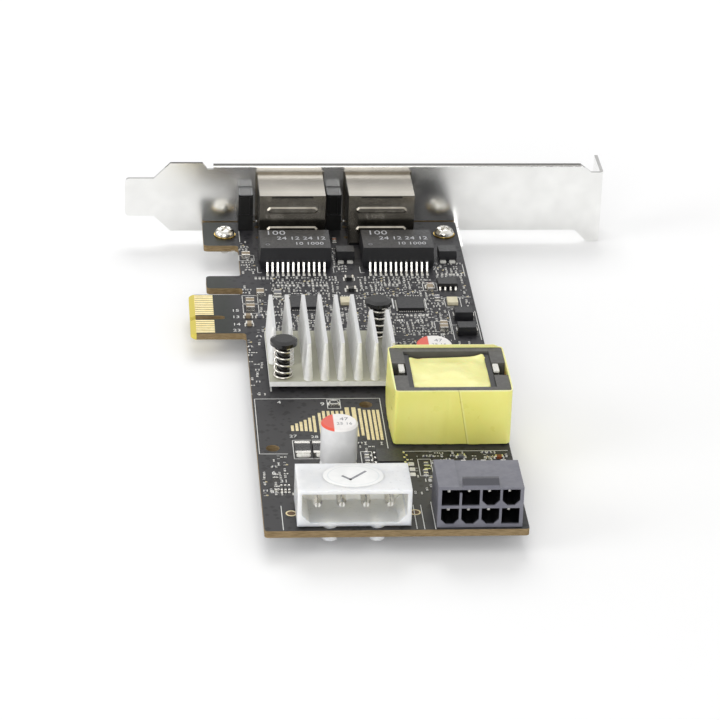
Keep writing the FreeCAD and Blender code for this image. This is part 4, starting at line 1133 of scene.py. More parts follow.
# x, d, length, width and height of each chip, and 1 if it is turned by a quarter.
MORE_CHIPS = {
    Finishes.CERAMIC: (
        (-31.7, 55.5, 1.8, 1.3, 0.8, 0),
        (-31.6, 59.7, 1.7, 1.5, 0.8, 0),
        (14.4, 60.9, 2.4, 1.7, 1.1, 1),
    ),
    Finishes.SLATE: (
        (-29.0, 55.5, 1.6, 1.1, 0.6, 0),
        (-24.1, 43.1, 2.6, 1.7, 0.8, 1),
        (3.8, 130.1, 1.7, 1.0, 0.6, 1),
        (3.4, 133.4, 1.7, 1.0, 0.6, 1),
        (11.8, 126.1, 1.8, 1.0, 0.6, 0),
        (-8.8, 125.0, 1.7, 1.0, 0.6, 1),
        (-8.8, 127.6, 1.7, 1.0, 0.6, 1),
        (14.2, 46.0, 1.8, 1.2, 0.8, 1),
    ),
    Finishes.BROWN: (
        (13.1, 39.1, 1.9, 1.7, 0.9, 0),
        (20.1, 126.6, 1.8, 1.0, 0.6, 0),
        (-8.4, 12.0, 1.6, 1.0, 0.6, 1),
    ),
    Finishes.RESISTOR: (
        (-14.35, 100.6, 2.1, 1.2, 0.5, 0),
        (-6.3, 34.7, 2.2, 1.5, 0.9, 0),
        (-6.2, 40.9, 2.4, 1.6, 0.9, 0),
        (-28.1, 140.1, 2.4, 0.5, 0.6, 1),
        (-27.3, 140.1, 2.4, 0.5, 0.6, 1),
        (-26.5, 140.1, 2.4, 0.5, 0.6, 1),
    ),
}


# ---------------------------------------------------------------- sub-assemblies


# A Four handed to pillow is a width, depth, height and edge. A Four handed to hoop is an inner radius, an
# outer radius, a lowest height and a highest one. Profiles hold a radius and a height in each Pair.


@dataclass
class SlotBracket:
    """The bracket and its two screws."""

    screws: Places = ((-35.6, 8.3), (19.5, 8.3))
    shank: Places = ((0.9, -4.6), (1.35, -4.1), (1.35, -1.75))
    washer: Four = (2.2, 2.67, 0.0, 0.32)
    head_radius: float = 2.45
    flat_radius: float = 1.85
    head_low: float = 0.05
    head_edge: float = 0.75
    head_high: float = 1.95
    cross_half: float = 0.391
    cross_slimness: float = 4.2
    cross_flank: float = 0.12
    cross_depth: float = 0.9
    cross_turn: float = 0.5

    def build(self) -> None:
        """Finishes the plate and makes the screws' heads, shanks and brass washers."""
        coat(Finishes.BRACKET, "bracket")
        places = on_board(self.screws)
        make("screw_heads", repeated(self.head(), places), Finishes.SCREW, 40.0, ("bracket_screws",))
        make("screw_shanks", repeated(turned(np.array(self.shank), 20), places), Finishes.SCREW)
        make("screw_washers", repeated(hoop(*self.washer, 32), places), Finishes.BRASS)

    def head(self) -> Shell:
        """A pan head with a cross recess.

        The height over a disc is a flattened dome, less a cross that is deepest in the middle: the cross
        is the smaller distance to its two arms, brought smoothly from nought to its depth.
        """
        outer = np.linspace(self.head_radius, self.head_radius * 0.8, 5)
        radii = np.concatenate([outer, np.linspace(self.flat_radius, 0.05, 26)])[:, None]
        angle = (np.arange(64) * TURN / 64)[None]
        across, back = radii * np.cos(angle), radii * np.sin(angle)
        share = radii / self.head_radius
        dome = self.head_high - (self.head_high - self.head_edge) * share**5
        first = np.abs(across * math.cos(self.cross_turn) + back * math.sin(self.cross_turn))
        second = np.abs(back * math.cos(self.cross_turn) - across * math.sin(self.cross_turn))
        slim = self.cross_slimness
        arm = np.minimum(np.maximum(first / slim, second), np.maximum(second / slim, first))
        into = np.clip((self.cross_half - arm) / self.cross_flank, 0, 1) * (1 - 0.55 * share)
        top = np.stack([across, back, dome - into * self.cross_depth], -1)
        skirt = np.stack([across[:1], back[:1], np.full_like(across[:1], self.head_low)], -1)
        return stacked(np.concatenate([skirt, top]))


@dataclass
class Board:
    """The board: its mask, the print, the gold strips, the bare pads and the contacts."""

    print_width: float = 0.16
    narrow_strip: float = 0.64
    wide_strip: float = 0.95
    strip_square: Four = (1.0, 1.0, 0.05, 0.02)
    fine_pitch: Pair = (1.18, 1.5)
    jitter: float = 0.12
    seed: int = 11
    turned_share: float = 0.55
    chip_to: float = 0.5
    bare_to: float = 0.8
    ticked: Pair = (0.2, 0.74)
    via_from: float = 0.9
    chip_body: Four = (0.42, 0.42, 0.3, 0.05)
    chip_end: Four = (0.24, 0.5, 0.26, 0.05)
    chip_reach: float = 0.36
    bare_radius: float = 0.2
    bare_reach: float = 0.3
    via: Four = (0.12, 0.26, 0.0, INK_HIGH)
    via_shift: float = 0.45
    tick_half: Pair = (0.05, 0.3)
    tick_reach: float = 0.62
    dot_radius: float = 0.33
    dot_pitch: float = 0.95
    bright_pad: Four = (1.25, 1.5, 0.12, 0.08)
    bright_pads: Places = ((0.63, 129.2), (0.67, 131.6), (0.59, 133.9))
    holes: Places = ((-26.6, 150.5), (-0.4, 150.5))
    hole_edge: Four = (0.88, 1.2, 0.0, PAD_HIGH)
    hole_radius: float = 0.9

    def build(self) -> None:
        """Finishes the laminate and prints on it."""
        coat(Finishes.MASK, "circuit_board")
        coat(Finishes.GOLD, "edge_contacts")
        straight = lines(np.array(PRINTED_LINES), self.print_width, 0.0, INK_HIGH)
        boxed = frames(np.array(PRINTED_FRAMES), self.print_width, 0.0, INK_HIGH)
        make("board_outlines", joined([straight, boxed]), Finishes.INK)
        self.strips("bright_strips", np.array(NARROW_STRIPS), self.narrow_strip)
        self.strips("wide_strips", np.array(WIDE_STRIPS), self.wide_strip)
        self.fine_parts()
        make("board_numbers", numbered(BOARD_NUMBERS), Finishes.INK)

    def strips(self, name: str, rows: np.ndarray, width: float) -> None:
        """The exposed strips between the heatsink and the front capacitor.

        Args:
            name: the piece's name.
            rows: x, first d and last d of each strip.
            width: their width.
        """
        sizes = np.column_stack([np.full(len(rows), width), rows[:, 2] - rows[:, 1], np.full(len(rows), 1.0)])
        places = on_board(np.column_stack([rows[:, 0], (rows[:, 1] + rows[:, 2]) / 2]))
        make(name, repeated(pillow(*self.strip_square), places, sizes=sizes), Finishes.STRIP)

    def fine_places(self) -> tuple[np.ndarray, np.random.Generator]:
        """Where the finest parts and pads are: a jittered grid in the zones, clear of every larger part.

        Returns:
            The x and d of each, and the seeded generator that placed them.
        """
        chance = np.random.default_rng(self.seed)
        across_pitch, back_pitch = self.fine_pitch
        found = []
        for x0, x1, d0, d1, filled in FINE_ZONES:
            x, d = np.meshgrid(np.arange(x0, x1, across_pitch), np.arange(d0, d1, back_pitch))
            spots = np.stack([x.ravel(), d.ravel()], -1)
            spots = spots + chance.uniform(-self.jitter, self.jitter, spots.shape)
            found.append(spots[chance.random(len(spots)) < filled])
        places = np.concatenate(found)
        x, d = places[:, :1], places[:, 1:]
        least_x, least_d, most_x, most_d = np.array(COVERED).T
        covered = (x > least_x) & (d > least_d) & (x < most_x) & (d < most_d)
        return places[~covered.any(axis=1)], chance

    def fine_parts(self) -> None:
        """The finest chips with their soldered ends, bare pads, print, plated holes and rows of test dots.

        One number from 0 to 1 says what stands at a place: a chip below chip_to, then bare pads below
        bare_to. Ticks are printed below the first limit of ticked and from the second, and a plated hole
        lies beside what is above via_from.
        """
        places, chance = self.fine_places()
        kind = chance.random(len(places))
        turns = np.where(chance.random(len(places)) < self.turned_share, QUARTER, 0.0)
        spots = on_board(places)
        wide, deep = self.tick_half
        tick = plates(np.array([[(-wide, -deep), (wide, -deep), (wide, deep), (-wide, deep)]]), 0.0, INK_HIGH)
        ticks = paired(tick, self.tick_reach)
        dot = disc(self.bare_radius, 0.0, PAD_HIGH, 8)
        chips = kind < self.chip_to
        bare = (kind >= self.chip_to) & (kind < self.bare_to)
        marked = (kind < self.ticked[0]) | (kind >= self.ticked[1])
        for name, shell, chosen, finish in (
            ("fine_chips", pillow(*self.chip_body), chips, Finishes.SLATE),
            ("fine_chip_ends", paired(pillow(*self.chip_end), self.chip_reach), chips, Finishes.SOLDER),
            ("bare_pads", paired(dot, self.bare_reach), bare, Finishes.SOLDER),
            ("print_ticks", ticks, marked, Finishes.INK),
        ):
            make(name, repeated(shell, spots[chosen], turns[chosen]), finish)
        dots = on_board([(x + step, d) for x, d, many in DOT_ROWS for step in centred(many, self.dot_pitch)])
        make("test_dots", repeated(disc(self.dot_radius, 0.0, PAD_HIGH, 12), dots), Finishes.SOLDER)
        longer = np.tile([1.15, 1.0, 1.0], (len(dots), 1))
        brackets = repeated(ticks, dots, np.full(len(dots), QUARTER), longer)
        make("print_brackets", brackets, Finishes.INK)
        bright = repeated(pillow(*self.bright_pad), on_board(self.bright_pads))
        make("bright_pads", bright, Finishes.SOLDER)
        holes = on_board(self.holes)
        make("hole_edges", repeated(hoop(*self.hole_edge, 28), holes), Finishes.STRIP)
        make("hole_hollows", repeated(disc(self.hole_radius, 0.0, 0.012, 24), holes), Finishes.HOLE)
        vias = on_board(places[kind > self.via_from] + self.via_shift)
        make("small_holes", repeated(hoop(*self.via, 8), vias), Finishes.STRIP)


@dataclass
class NetworkJacks:
    """Both shielded jacks with their indicator stacks."""

    stacks: tuple[float, ...] = (-30.3, -8.15)
    stack_half: float = 1.5
    ribs: Pair = (0.55, 5.2)
    stack_top: float = 9.5

    def build(self) -> None:
        """Finishes shields, mouldings, contacts and light pieces."""
        for side in ("left", "right"):
            coat(Finishes.SHIELD, f"jack_shield_{side}")
            coat(Finishes.BLACK, f"jack_housing_{side}", f"indicator_housing_{side}")
            coat(Finishes.GOLD, f"jack_contacts_{side}")
            coat(Finishes.LENS, f"indicator_lenses_{side}")
        first, last = self.ribs
        ribs = np.array([[x - self.stack_half, first, x + self.stack_half, last] for x in self.stacks])
        make("indicator_ribs", frames(ribs, 0.14, self.stack_top, self.stack_top + 0.06), Finishes.FAINT_INK)


@dataclass
class NetworkTransformers:
    """The two network transformers and the surge suppressors beside them."""

    centres: tuple[float, ...] = (-18.99, 6.2)
    top: float = 5.7
    marks: Marks = (("100", -4.6, 19.7, 3.4), ("24 12 24 12", 1.6, 22.9, 2.5), ("10 1000", 3.4, 26.0, 2.2))
    ring: Pair = (0.36, 0.5)
    ring_place: Pair = (-6.79, 26.5)
    suppressors: Places = ((18.8, 25.0), (-6.5, 25.0))
    toe: Four = (1.5, 1.1, 0.5, 0.12)
    toe_reach: float = 1.15
    fillet: Four = (0.62, 1.5, 0.14, 0.05)
    leads: int = 12
    lead_pitch: float = 1.27
    lead_back: float = 31.9

    def build(self) -> None:
        """Finishes the moulded bodies and their leads, and marks the bodies."""
        for side in ("left", "right"):
            coat(Finishes.PACKAGE, f"network_transformer_{side}")
            coat(Finishes.TIN, f"network_transformer_leads_{side}")
        coat(Finishes.PACKAGE, "surge_suppressors")
        marks = [(text, x + across, d, size) for x in self.centres for text, across, d, size in self.marks]
        make("transformer_marks", numbered(marks, self.top), Finishes.PRINT)
        ring = hoop(*self.ring, self.top, self.top + INK_HIGH)
        across, back = self.ring_place
        rings = on_board([(x + across, back) for x in self.centres])
        make("transformer_dots", repeated(ring, rings), Finishes.FAINT_INK)
        toes = paired(pillow(*self.toe), self.toe_reach)
        make("suppressor_toes", repeated(toes, on_board(self.suppressors)), Finishes.SOLDER)
        steps = centred(self.leads, self.lead_pitch)
        feet = on_board([(x + step, self.lead_back) for x in self.centres for step in steps])
        make("lead_fillets", repeated(pillow(*self.fillet), feet), Finishes.SOLDER)


@dataclass
class CoolingStack:
    """The heatsink with the controller under it and the sprung pins that hold it."""

    pins: Places = ((-25.3, 90.9), (-2.3, 70.2))
    wire: float = 0.28
    coil_radius: float = 2.0
    low: float = 2.38
    high: float = 10.2
    turns: float = 5.2
    flat_turns: float = 0.5
    points_per_turn: int = 32
    wire_sides: int = 10

    def build(self) -> None:
        """Finishes the solids and winds the springs."""
        coat(Finishes.FIN, "heatsink")
        coat(Finishes.PAD, "thermal_pad")
        coat(Finishes.PACKAGE, "main_chip")
        coat(Finishes.CAP, "push_pins")
        coils = repeated(self.spring(), on_board(self.pins))
        make("spring_coils", coils, Finishes.SPRING, 60.0, ("push_pin_springs",))

    def spring(self) -> Shell:
        """A coil spring with closed ends.

        The wire's middle turns evenly on a circle while its height climbs only between the first and the
        last turns, which lie flat.
        """
        share = np.linspace(0, 1, int(self.turns * self.points_per_turn))
        angle = share * self.turns * TURN
        end = self.flat_turns / self.turns
        climb = np.clip((share - end) / (1 - 2 * end), 0, 1)
        rest = self.wire * 1.05
        height = self.low + rest + climb * (self.high - self.low - 2 * rest)
        path = np.stack([self.coil_radius * np.cos(angle), self.coil_radius * np.sin(angle), height], -1)
        return tube(path, self.wire, self.wire_sides, np.array([0.0, 0.0, 1.0]))


@dataclass
class PowerTransformer:
    """The taped ferrite transformer. Sides are counted from the right one, anticlockwise from above."""

    centre: Pair = (10.35, 109.65)
    half: Pair = (12.65, 10.65)
    corner: float = 0.6
    tape_low: float = 0.35
    tape_high: float = 13.35
    thickness: float = 0.24
    swell: Four = (0.45, 0.35, 0.75, 0.3)
    rim_rise: Four = (0.2, 0.0, 0.12, 0.5)
    folds: Pair = (0.07, 0.04)
    fold_counts: Pair = (9.0, 21.0)
    pinch: float = 0.16
    pinch_at: float = 0.55
    step: float = 0.16
    seam_top_x: float = 11.3
    seam_lean: float = 2.4
    clip: Four = (1.3, 3.9, 0.45, 0.12)
    clips: tuple[Triple, ...] = ((-0.2, 108.2, 12.55), (20.8, 108.3, 12.55))
    winding_half: Pair = (9.3, 7.75)
    winding_low: float = 2.0
    winding_high: float = 12.35
    squareness: float = 0.17
    crown: float = 0.75
    curl: float = 1.1
    curl_place: Pair = (8.2, -7.2)

    def build(self) -> None:
        """Finishes the core and the bobbin, and makes the tape, the clips and the winding."""
        coat(Finishes.FERRITE, "transformer_core")
        coat(Finishes.BLACK, "transformer_bobbin")
        coat(Finishes.TIN, "transformer_pins")
        make("core_tape_wrap", self.wrap(), Finishes.CORE_TAPE, 50.0, ("transformer_tape",))
        make("core_clips", repeated(pillow(*self.clip), np.array(self.clips)), Finishes.SOLDER)
        make("winding_pillow", self.pillow_top(), Finishes.WINDING, 60.0, ("transformer_winding",))

    def perimeter(self, per_side: int = 64, per_corner: int = 4) -> tuple[np.ndarray, ...]:
        """The core's outline from above.

        Args:
            per_side: how many points a straight side has.
            per_corner: how many points a corner has.

        Returns:
            The points, the outward directions, the side's number and the share of the way along it.
        """
        along = np.linspace(-1, 1, per_side)
        turns = np.linspace(0, QUARTER, per_corner + 2)[1:-1, None]
        half = np.array(self.half)
        rows = []
        for side in range(4):
            facing = side * QUARTER
            normal = np.array([math.cos(facing), math.sin(facing)])
            across = np.array([-math.sin(facing), math.cos(facing)])
            reach = abs(half @ across) - self.corner
            depth = abs(half @ normal)
            arc = np.cos(turns) * normal + np.sin(turns) * across
            straight = depth * normal + (along * reach)[:, None] * across
            rounded = (depth - self.corner) * normal + reach * across + self.corner * arc
            rows.append((straight, np.tile(normal, (per_side, 1)), np.full(per_side, side), along))
            rows.append((rounded, arc, np.full(per_corner, side), np.ones(per_corner)))
        return tuple(np.concatenate(column) for column in zip(*rows))

    def wrap(self) -> Shell:
        """The tape round the core.

        Its outer face stands off the core by the tape's thickness, plus a swell that is greatest in the
        middle of each side and low down, plus shallow upright folds and a step where the last layer ends.
        """
        points, outward, number, share = self.perimeter()
        level = np.linspace(0, 1, 30)[:, None]
        middle = np.clip(1 - share**2, 0, 1)
        droop = np.sin(math.pi * np.clip(level * 0.82 + 0.1, 0, 1)) ** 0.8 * (1 - 0.35 * level)
        swell = np.array(self.swell)[number] * middle**0.7 * droop
        broad, fine = self.folds
        few, many = self.fold_counts
        folds = broad * np.sin(share * few + number * 2.1) + fine * np.sin(share * many + number)
        folds = folds * (1 - level) ** 0.7 * (1 - share**2)
        pinch = self.pinch * bell(share, self.pinch_at, 0.06) * (number == 2) * bell(level, 0.55, 0.3)
        seam = self.seam_top_x + self.seam_lean * (1 - level)
        step = self.step / (1 + np.exp((seam - points[:, 0] - self.centre[0]) / 0.05)) * (number == 1)
        off = np.maximum(self.thickness + swell + np.abs(folds) - pinch + step, 0.08)
        rise = np.array(self.rim_rise)[number] * np.clip((1 - np.abs(share)) / 0.08, 0, 1)
        height = (self.tape_low + level * (self.tape_high - self.tape_low + rise))[..., None]
        outer = np.concatenate([points + outward * off[..., None], height], -1)
        inner = np.broadcast_to(points + outward * 0.02, (2, *points.shape))
        inner = np.concatenate([inner, height[[-1, 0]]], -1)
        rings = np.concatenate([outer, inner])
        rings[..., :2] += np.array(self.centre)
        return Shell(rings.reshape(-1, 3), net(rings.shape[0], rings.shape[1], round_rows=True).tolist())

    def pillow_top(self) -> Shell:
        """The wound coil under its tape.

        Rings follow a rounded rectangle. They rise along the sides, round the shoulder and draw in over a
        crowned top, whose height has soft lumps across the windings and a raised end of tape at one corner.
        """
        angle = np.arange(120) * TURN / 120
        circle = np.stack([np.cos(angle), np.sin(angle)], -1)
        outline = np.sign(circle) * np.abs(circle) ** self.squareness * np.array(self.winding_half)
        wobble = 1 + 0.012 * np.sin(angle * 5 + 1.0) + 0.008 * np.sin(angle * 11)
        shoulder = np.linspace(0, QUARTER, 9)
        inward = np.concatenate([[1.0, 1.0], 1 - 0.07 * (1 - np.cos(shoulder)), np.linspace(0.91, 0.03, 16)])
        rise = np.concatenate([[0.0, 0.8], 0.8 + 0.2 * np.sin(shoulder), np.ones(16)])[:, None]
        flat = inward[:, None, None] * outline * wobble[:, None]
        x, d = flat[..., 0], flat[..., 1]
        lumps = 0.09 * np.sin(x * 0.9 + 0.6) * np.cos(d * 0.5) + 0.05 * np.sin(d * 1.4)
        curl_x, curl_d = self.curl_place
        lumps = lumps + self.curl * bell(x, curl_x, 1.5) * bell(d, curl_d, 1.2)
        lumps = lumps + 0.16 * np.sin(x * 1.3) * np.clip(-d / 7.0, 0, 1)
        crown = self.crown * np.clip(1 - inward[:, None] ** 2.4, 0, 1) * np.clip(1 - (d / 9.5) ** 2, 0, 1)
        height = self.winding_low + rise * (self.winding_high - self.winding_low)
        height = height + (crown + lumps) * (rise > 0.95)
        return stacked(np.concatenate([flat + np.array(self.centre), height[..., None]], -1))


@dataclass
class Capacitors:
    """The two electrolytic capacitors."""

    places: Places = ((-15.5, 131.9), (8.5, 93.93))
    top: float = 12.0
    marks: Marks = (("47", 1.0, -1.1, 1.9), ("25 16", 1.0, 1.0, 1.5))

    def build(self) -> None:
        """Finishes the cans, the seals and the leads, and prints small numbers on the tops."""
        coat(Finishes.SLEEVE_FRONT, "capacitor_can_front")
        coat(Finishes.SLEEVE_REAR, "capacitor_can_rear")
        coat(Finishes.RUBBER, "capacitor_seal_front", "capacitor_seal_rear")
        coat(Finishes.TIN, "capacitor_leads")
        marks = [
            (text, x + across, d + back, size)
            for x, d in self.places
            for text, across, back, size in self.marks
        ]
        make("capacitor_numbers", numbered(marks, self.top), Finishes.FAINT_INK)


@dataclass
class PowerHeaders:
    """The white four-way header and the grey eight-way header."""

    tip_middle: Pair = (12.56, 153.45)
    tip_pitch: float = 4.25
    tip_heights: tuple[float, ...] = (7.025, 2.625)
    tip: Four = (0.62, 1.1, 0.62, 0.1)
    label_place: Pair = (-13.8, 150.7)
    label_half: Pair = (6.4, 4.9)
    label_height: float = 9.0
    paper: float = 0.06
    tick: Places = ((-2.2, 0.2), (-0.7, 1.7), (2.6, -1.7))
    tick_width: float = 0.55

    def build(self) -> None:
        """Finishes the mouldings and the contacts, and puts the round label on the white one."""
        coat(Finishes.WHITE, "four_way_housing")
        coat(Finishes.TIN, "four_way_contacts")
        coat(Finishes.POST, "eight_way_contacts")
        coat(Finishes.GREY, "eight_way_housing")
        tip = pillow(*self.tip).moved(0.0, 0.0, -self.tip[2] / 2)
        x, d = self.tip_middle
        ends = [(x + step, d, height) for height in self.tip_heights for step in centred(4, self.tip_pitch)]
        make("contact_tips", repeated(tip, np.array(ends)), Finishes.POST)
        make("header_label", self.label(), Finishes.PAPER)
        corners = np.array(self.tick) + np.array(self.label_place)
        strokes = np.concatenate([corners[:-1], corners[1:]], axis=1)
        low = self.label_height + self.paper
        make("label_tick", lines(strokes, self.tick_width, low, low + 0.025), Finishes.FAINT_INK)

    def label(self) -> Shell:
        """An oval of paper: rings of an ellipse that draw in over a flat top."""
        angle = np.arange(64) * TURN / 64
        oval = np.stack([np.cos(angle), np.sin(angle)], -1) * np.array(self.label_half)
        inward = np.array([1.0, 1.0, 0.992, 0.5])
        height = self.label_height + np.array([0.0, 0.05, self.paper, self.paper])
        flat = inward[:, None, None] * oval[None] + np.array(self.label_place)
        return stacked(np.concatenate([flat, np.broadcast_to(height[:, None, None], (4, 64, 1))], -1))


@dataclass
class SmallParts:
    """Everything small that is soldered flat on the board, and the joints of what goes through it."""

    board_thickness: float = 1.6
    body_share: float = 0.62
    cap_shares: Triple = (0.22, 1.04, 1.02)
    cap_reach: float = 0.4
    toe_shares: Triple = (0.2, 1.1, 0.25)
    toe_reach: float = 0.55
    mound: Four = (3.1, 1.5, 0.55, 0.3)
    mounds: Places = ((-22.5, 125.0), (-18.2, 125.0))
    cone: Places = ((0.55, -2.45), (0.66, -2.1), (0.9, -1.8), (1.25, -1.6))
    network_chips: Places = ((-18.1, 48.6), (7.4, 49.5))
    pin: Four = (0.24, 0.5, 0.1, 0.03)
    pins_per_side: int = 12
    pin_pitch: float = 0.5
    pin_reach: float = 3.3
    bars: tuple[Four, ...] = ((3.35, 45.8, 3.35, 50.9), (11.2, 45.8, 11.2, 50.9))
    bar_width: float = 0.34

    def build(self) -> None:
        """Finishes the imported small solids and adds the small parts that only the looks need."""
        coat(Finishes.PACKAGE, "network_chips", "diodes")
        coat(Finishes.JET, "small_packages")
        coat(Finishes.TIN, "small_package_leads", "diode_terminals", "chip_end_caps")
        coat(Finishes.CRYSTAL, "crystals")
        coat(Finishes.CERAMIC, "chip_capacitors")
        coat(Finishes.RESISTOR, "chip_resistors")
        self.chips()
        self.chip_pins()
        self.joints()

    def chips(self) -> None:
        """More chips: a body, two tinned ends a little larger than it, and two low toes of solder."""
        ends, toes = [], []
        for finish, rows in MORE_CHIPS.items():
            bodies = []
            for x, d, length, width, height, across in rows:
                size = np.array([length, width, height])
                body = pillow(length * self.body_share, width, height)
                caps = paired(pillow(*size * self.cap_shares), length * self.cap_reach)
                solder = paired(pillow(*size * self.toe_shares), length * self.toe_reach)
                for shell, kept in ((body, bodies), (caps, ends), (solder, toes)):
                    kept.append(repeated(shell, on_board([(x, d)]), np.array([across * QUARTER])))
            make(f"{finish.value.name}_parts", joined(bodies), finish)
        toes.append(repeated(pillow(*self.mound), on_board(self.mounds)))
        make("part_ends", joined(ends), Finishes.TIN)
        make("part_solder", joined(toes), Finishes.SOLDER)

    def chip_pins(self) -> None:
        """The fine pins along the network chips' four edges and the white bars beside the right chip."""
        reach = self.pin_reach
        places, turns = [], []
        for x, d in self.network_chips:
            for step in centred(self.pins_per_side, self.pin_pitch):
                places += [(x + step, d + way * reach) for way in (1, -1)]
                places += [(x + way * reach, d + step) for way in (1, -1)]
                turns += [0.0, 0.0, QUARTER, QUARTER]
        pins = repeated(pillow(*self.pin), on_board(places), np.array(turns))
        make("network_chip_pins", pins, Finishes.SOLDER)
        make("chip_bars", lines(np.array(self.bars), self.bar_width, 0.0, INK_HIGH), Finishes.INK)

    def joints(self) -> None:
        """Solder cones under the board: a ring that draws in round each lead, with a hollow flank."""
        cone = turned(np.array(self.cone), 20)
        for name, nodes, size, reach in (
            ("header_joints", ("four_way_contacts", "eight_way_contacts"), 1.0, 1.9),
            ("lead_joints", ("capacitor_leads", "transformer_pins"), 0.8, 1.9),
            ("jack_joints", ("jack_contacts_left", "jack_contacts_right"), 0.55, 0.9),
        ):
            places = on_board(np.concatenate([self.tails(node, reach) for node in nodes]))
            sizes = np.tile([size, size, 1.0], (len(places), 1))
            make(name, repeated(cone, places, sizes=sizes), Finishes.TIN)

    def tails(self, node: str, reach: float) -> np.ndarray:
        """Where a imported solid's leads come out under the board.

        Args:
            node: the solid's name.
            reach: more than a lead's width and less than the gap between two.

        Returns:
            x and d of each lead's middle, in millimetres.
        """
        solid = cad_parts[node]
        points = np.array([solid.matrix_world @ vertex.co for vertex in solid.data.vertices]) / MM
        low = points[points[:, 2] < BOARD_TOP / MM - self.board_thickness - 0.5, :2]
        near = np.linalg.norm(low[:, None] - low[None], axis=2) < reach
        first = near.argmax(axis=1)
        middles = np.array([low[first == index].mean(axis=0) for index in np.unique(first)])
        return np.column_stack([middles[:, 0], PLATE_FACE / MM - middles[:, 1]])


# ---------------------------------------------------------------- studio


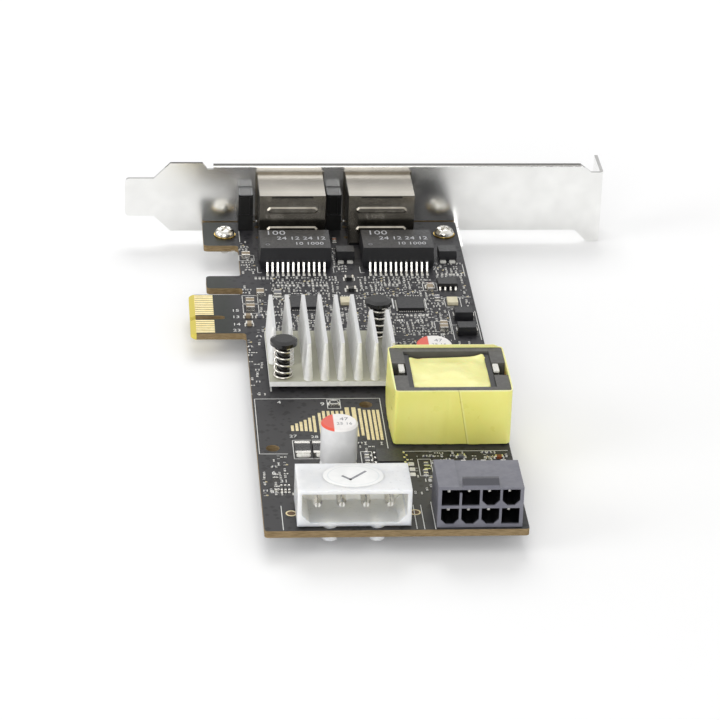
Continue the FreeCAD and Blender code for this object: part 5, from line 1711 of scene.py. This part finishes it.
@dataclass
class Studio:
    """The pale floor, the soft lights and the camera."""

    lens: float = 158.16
    place: Triple = (-0.06458, -0.73121, 0.31922)
    yaw: float = 5.065
    pitch: float = 26.480
    roll: float = 1.9445
    floor_half: float = 4.0
    floor_gap: float = 0.0001
    floor_lift: float = 0.1
    world_light: float = 0.62
    floor_shade: str = "f2f2f2"
    high_sky: Pair = (0.3, 0.85)
    side_sky: Pair = (0.35, 0.8)
    front_sky: Pair = (-0.75, -0.2)
    front_rise: Pair = (0.15, 0.6)
    low_sky: float = 0.5
    bright_side: float = 0.6
    dark_front: float = 0.85

    def build(self) -> None:
        """Sets up everything round the card."""
        self.view_settings()
        self.camera()
        self.floor()
        self.world()
        self.lamps()

    def view_settings(self) -> None:
        """Colours render as they are written."""
        bpy.context.scene.view_settings.view_transform = "Standard"

    def camera(self) -> None:
        """The camera looks down along its yaw and pitch, and is then rolled about its own axis."""
        yaw, pitch, roll = (math.radians(value) for value in (self.yaw, self.pitch, self.roll))
        forward = Vector((math.sin(yaw) * math.cos(pitch), math.cos(yaw) * math.cos(pitch), -math.sin(pitch)))
        level = Vector((math.cos(yaw), -math.sin(yaw), 0.0))
        upright = level.cross(forward)
        right = math.cos(roll) * level + math.sin(roll) * upright
        up = -math.sin(roll) * level + math.cos(roll) * upright
        data = bpy.data.cameras.new("camera")
        data.lens, data.sensor_width, data.clip_start = self.lens, 36.0, 0.01
        camera = bpy.data.objects.new("camera", data)
        axes = Matrix((right, up, -forward)).transposed().to_4x4()
        camera.matrix_world = Matrix.Translation(self.place) @ axes
        bpy.context.scene.collection.objects.link(camera)
        bpy.context.scene.camera = camera

    def floor(self) -> None:
        """A flat pale floor that the card stands on; the eye sees it white outside the shadow."""
        half, low = self.floor_half, CAD_BOX[0][2] - self.floor_gap
        corners = [(-half, -half, low), (half, -half, low), (half, half, low), (-half, half, low)]
        mesh = bpy.data.meshes.new("floor")
        mesh.from_pydata(corners, [], [(0, 1, 2, 3)])
        graph = Graph(bpy.data.materials.new("floor_paper"))
        graph.set(Base_Color=linear(self.floor_shade), Roughness=0.9, Specular_IOR_Level=0.0)
        path = graph.add("LightPath").outputs
        seen = graph.maths("MAXIMUM", path["Is Camera Ray"], path["Is Glossy Ray"])
        graph.set(Emission_Color=(1, 1, 1, 1), Emission_Strength=graph.product(seen, self.floor_lift))
        mesh.materials.append(graph.owner)
        floor = bpy.data.objects.new("floor", mesh)
        bpy.context.scene.collection.objects.link(floor)

    def world(self) -> None:
        """An even pale sky as a light, white to the eye; its reflection dims low down and before the card."""
        world = bpy.data.worlds.new("studio")
        bpy.context.scene.world = world
        graph = Graph(world, "Background")
        path = graph.add("LightPath").outputs
        where = graph.add("SeparateXYZ", {0: graph.add("TexCoord").outputs["Generated"]}).outputs
        up = graph.smooth(where["Z"], *self.high_sky, self.low_sky, 1.0)
        aside = graph.smooth(graph.maths("ABSOLUTE", where["X"]), *self.side_sky, 0.0, self.bright_side)
        front = graph.smooth(where["Y"], *self.front_sky, 1.0, 0.0)
        before = graph.product(front, graph.smooth(where["Z"], *self.front_rise, 1.0, 0.0), self.dark_front)
        sky = graph.maths("MINIMUM", graph.maths("ADD", up, aside), 1.0)
        shown = graph.product(sky, graph.maths("SUBTRACT", 1.0, before))
        seen = graph.maths("MAXIMUM", path["Is Camera Ray"], path["Is Transmission Ray"])
        plain = graph.maths("ADD", graph.product(seen, 1.0 - self.world_light), self.world_light)
        glossy = path["Is Glossy Ray"]
        apart = graph.product(plain, graph.maths("SUBTRACT", 1.0, glossy))
        strength = graph.maths("ADD", graph.product(shown, glossy), apart)
        graph.set(Color=(1.0, 1.0, 1.0, 1.0), Strength=strength)

    def lamps(self) -> None:
        """Broad soft boxes, with the place, target, width and power of each."""
        boxes = (
            ("overhead", (0.0, 0.5, 0.75), (0.0, -0.05, 0.0), 0.5, 2.7),
            ("left_side", (-0.95, -0.35, 0.4), (0.0, -0.08, 0.0), 0.5, 2.6),
            ("front", (-0.2, -1.1, 0.35), (0.0, -0.08, 0.0), 0.7, 4.7),
        )
        for name, place, target, size, power in boxes:
            data = bpy.data.lights.new(name, "AREA")
            data.shape, data.size, data.energy = "SQUARE", size, power
            lamp = bpy.data.objects.new(name, data)
            look = (Vector(target) - Vector(place)).to_track_quat("-Z", "Y")
            lamp.matrix_world = Matrix.Translation(place) @ look.to_matrix().to_4x4()
            bpy.context.scene.collection.objects.link(lamp)


def main() -> None:
    """Builds the sub-assemblies in order and reports each."""
    logging.basicConfig(level=logging.INFO, format="%(name)s %(message)s")
    parts = (
        SlotBracket(),
        Board(),
        NetworkJacks(),
        NetworkTransformers(),
        CoolingStack(),
        PowerTransformer(),
        Capacitors(),
        PowerHeaders(),
        SmallParts(),
        Studio(),
    )
    for part in parts:
        part.build()
        LOG.info("%s done", type(part).__name__)


if __name__ == "__main__":
    main()
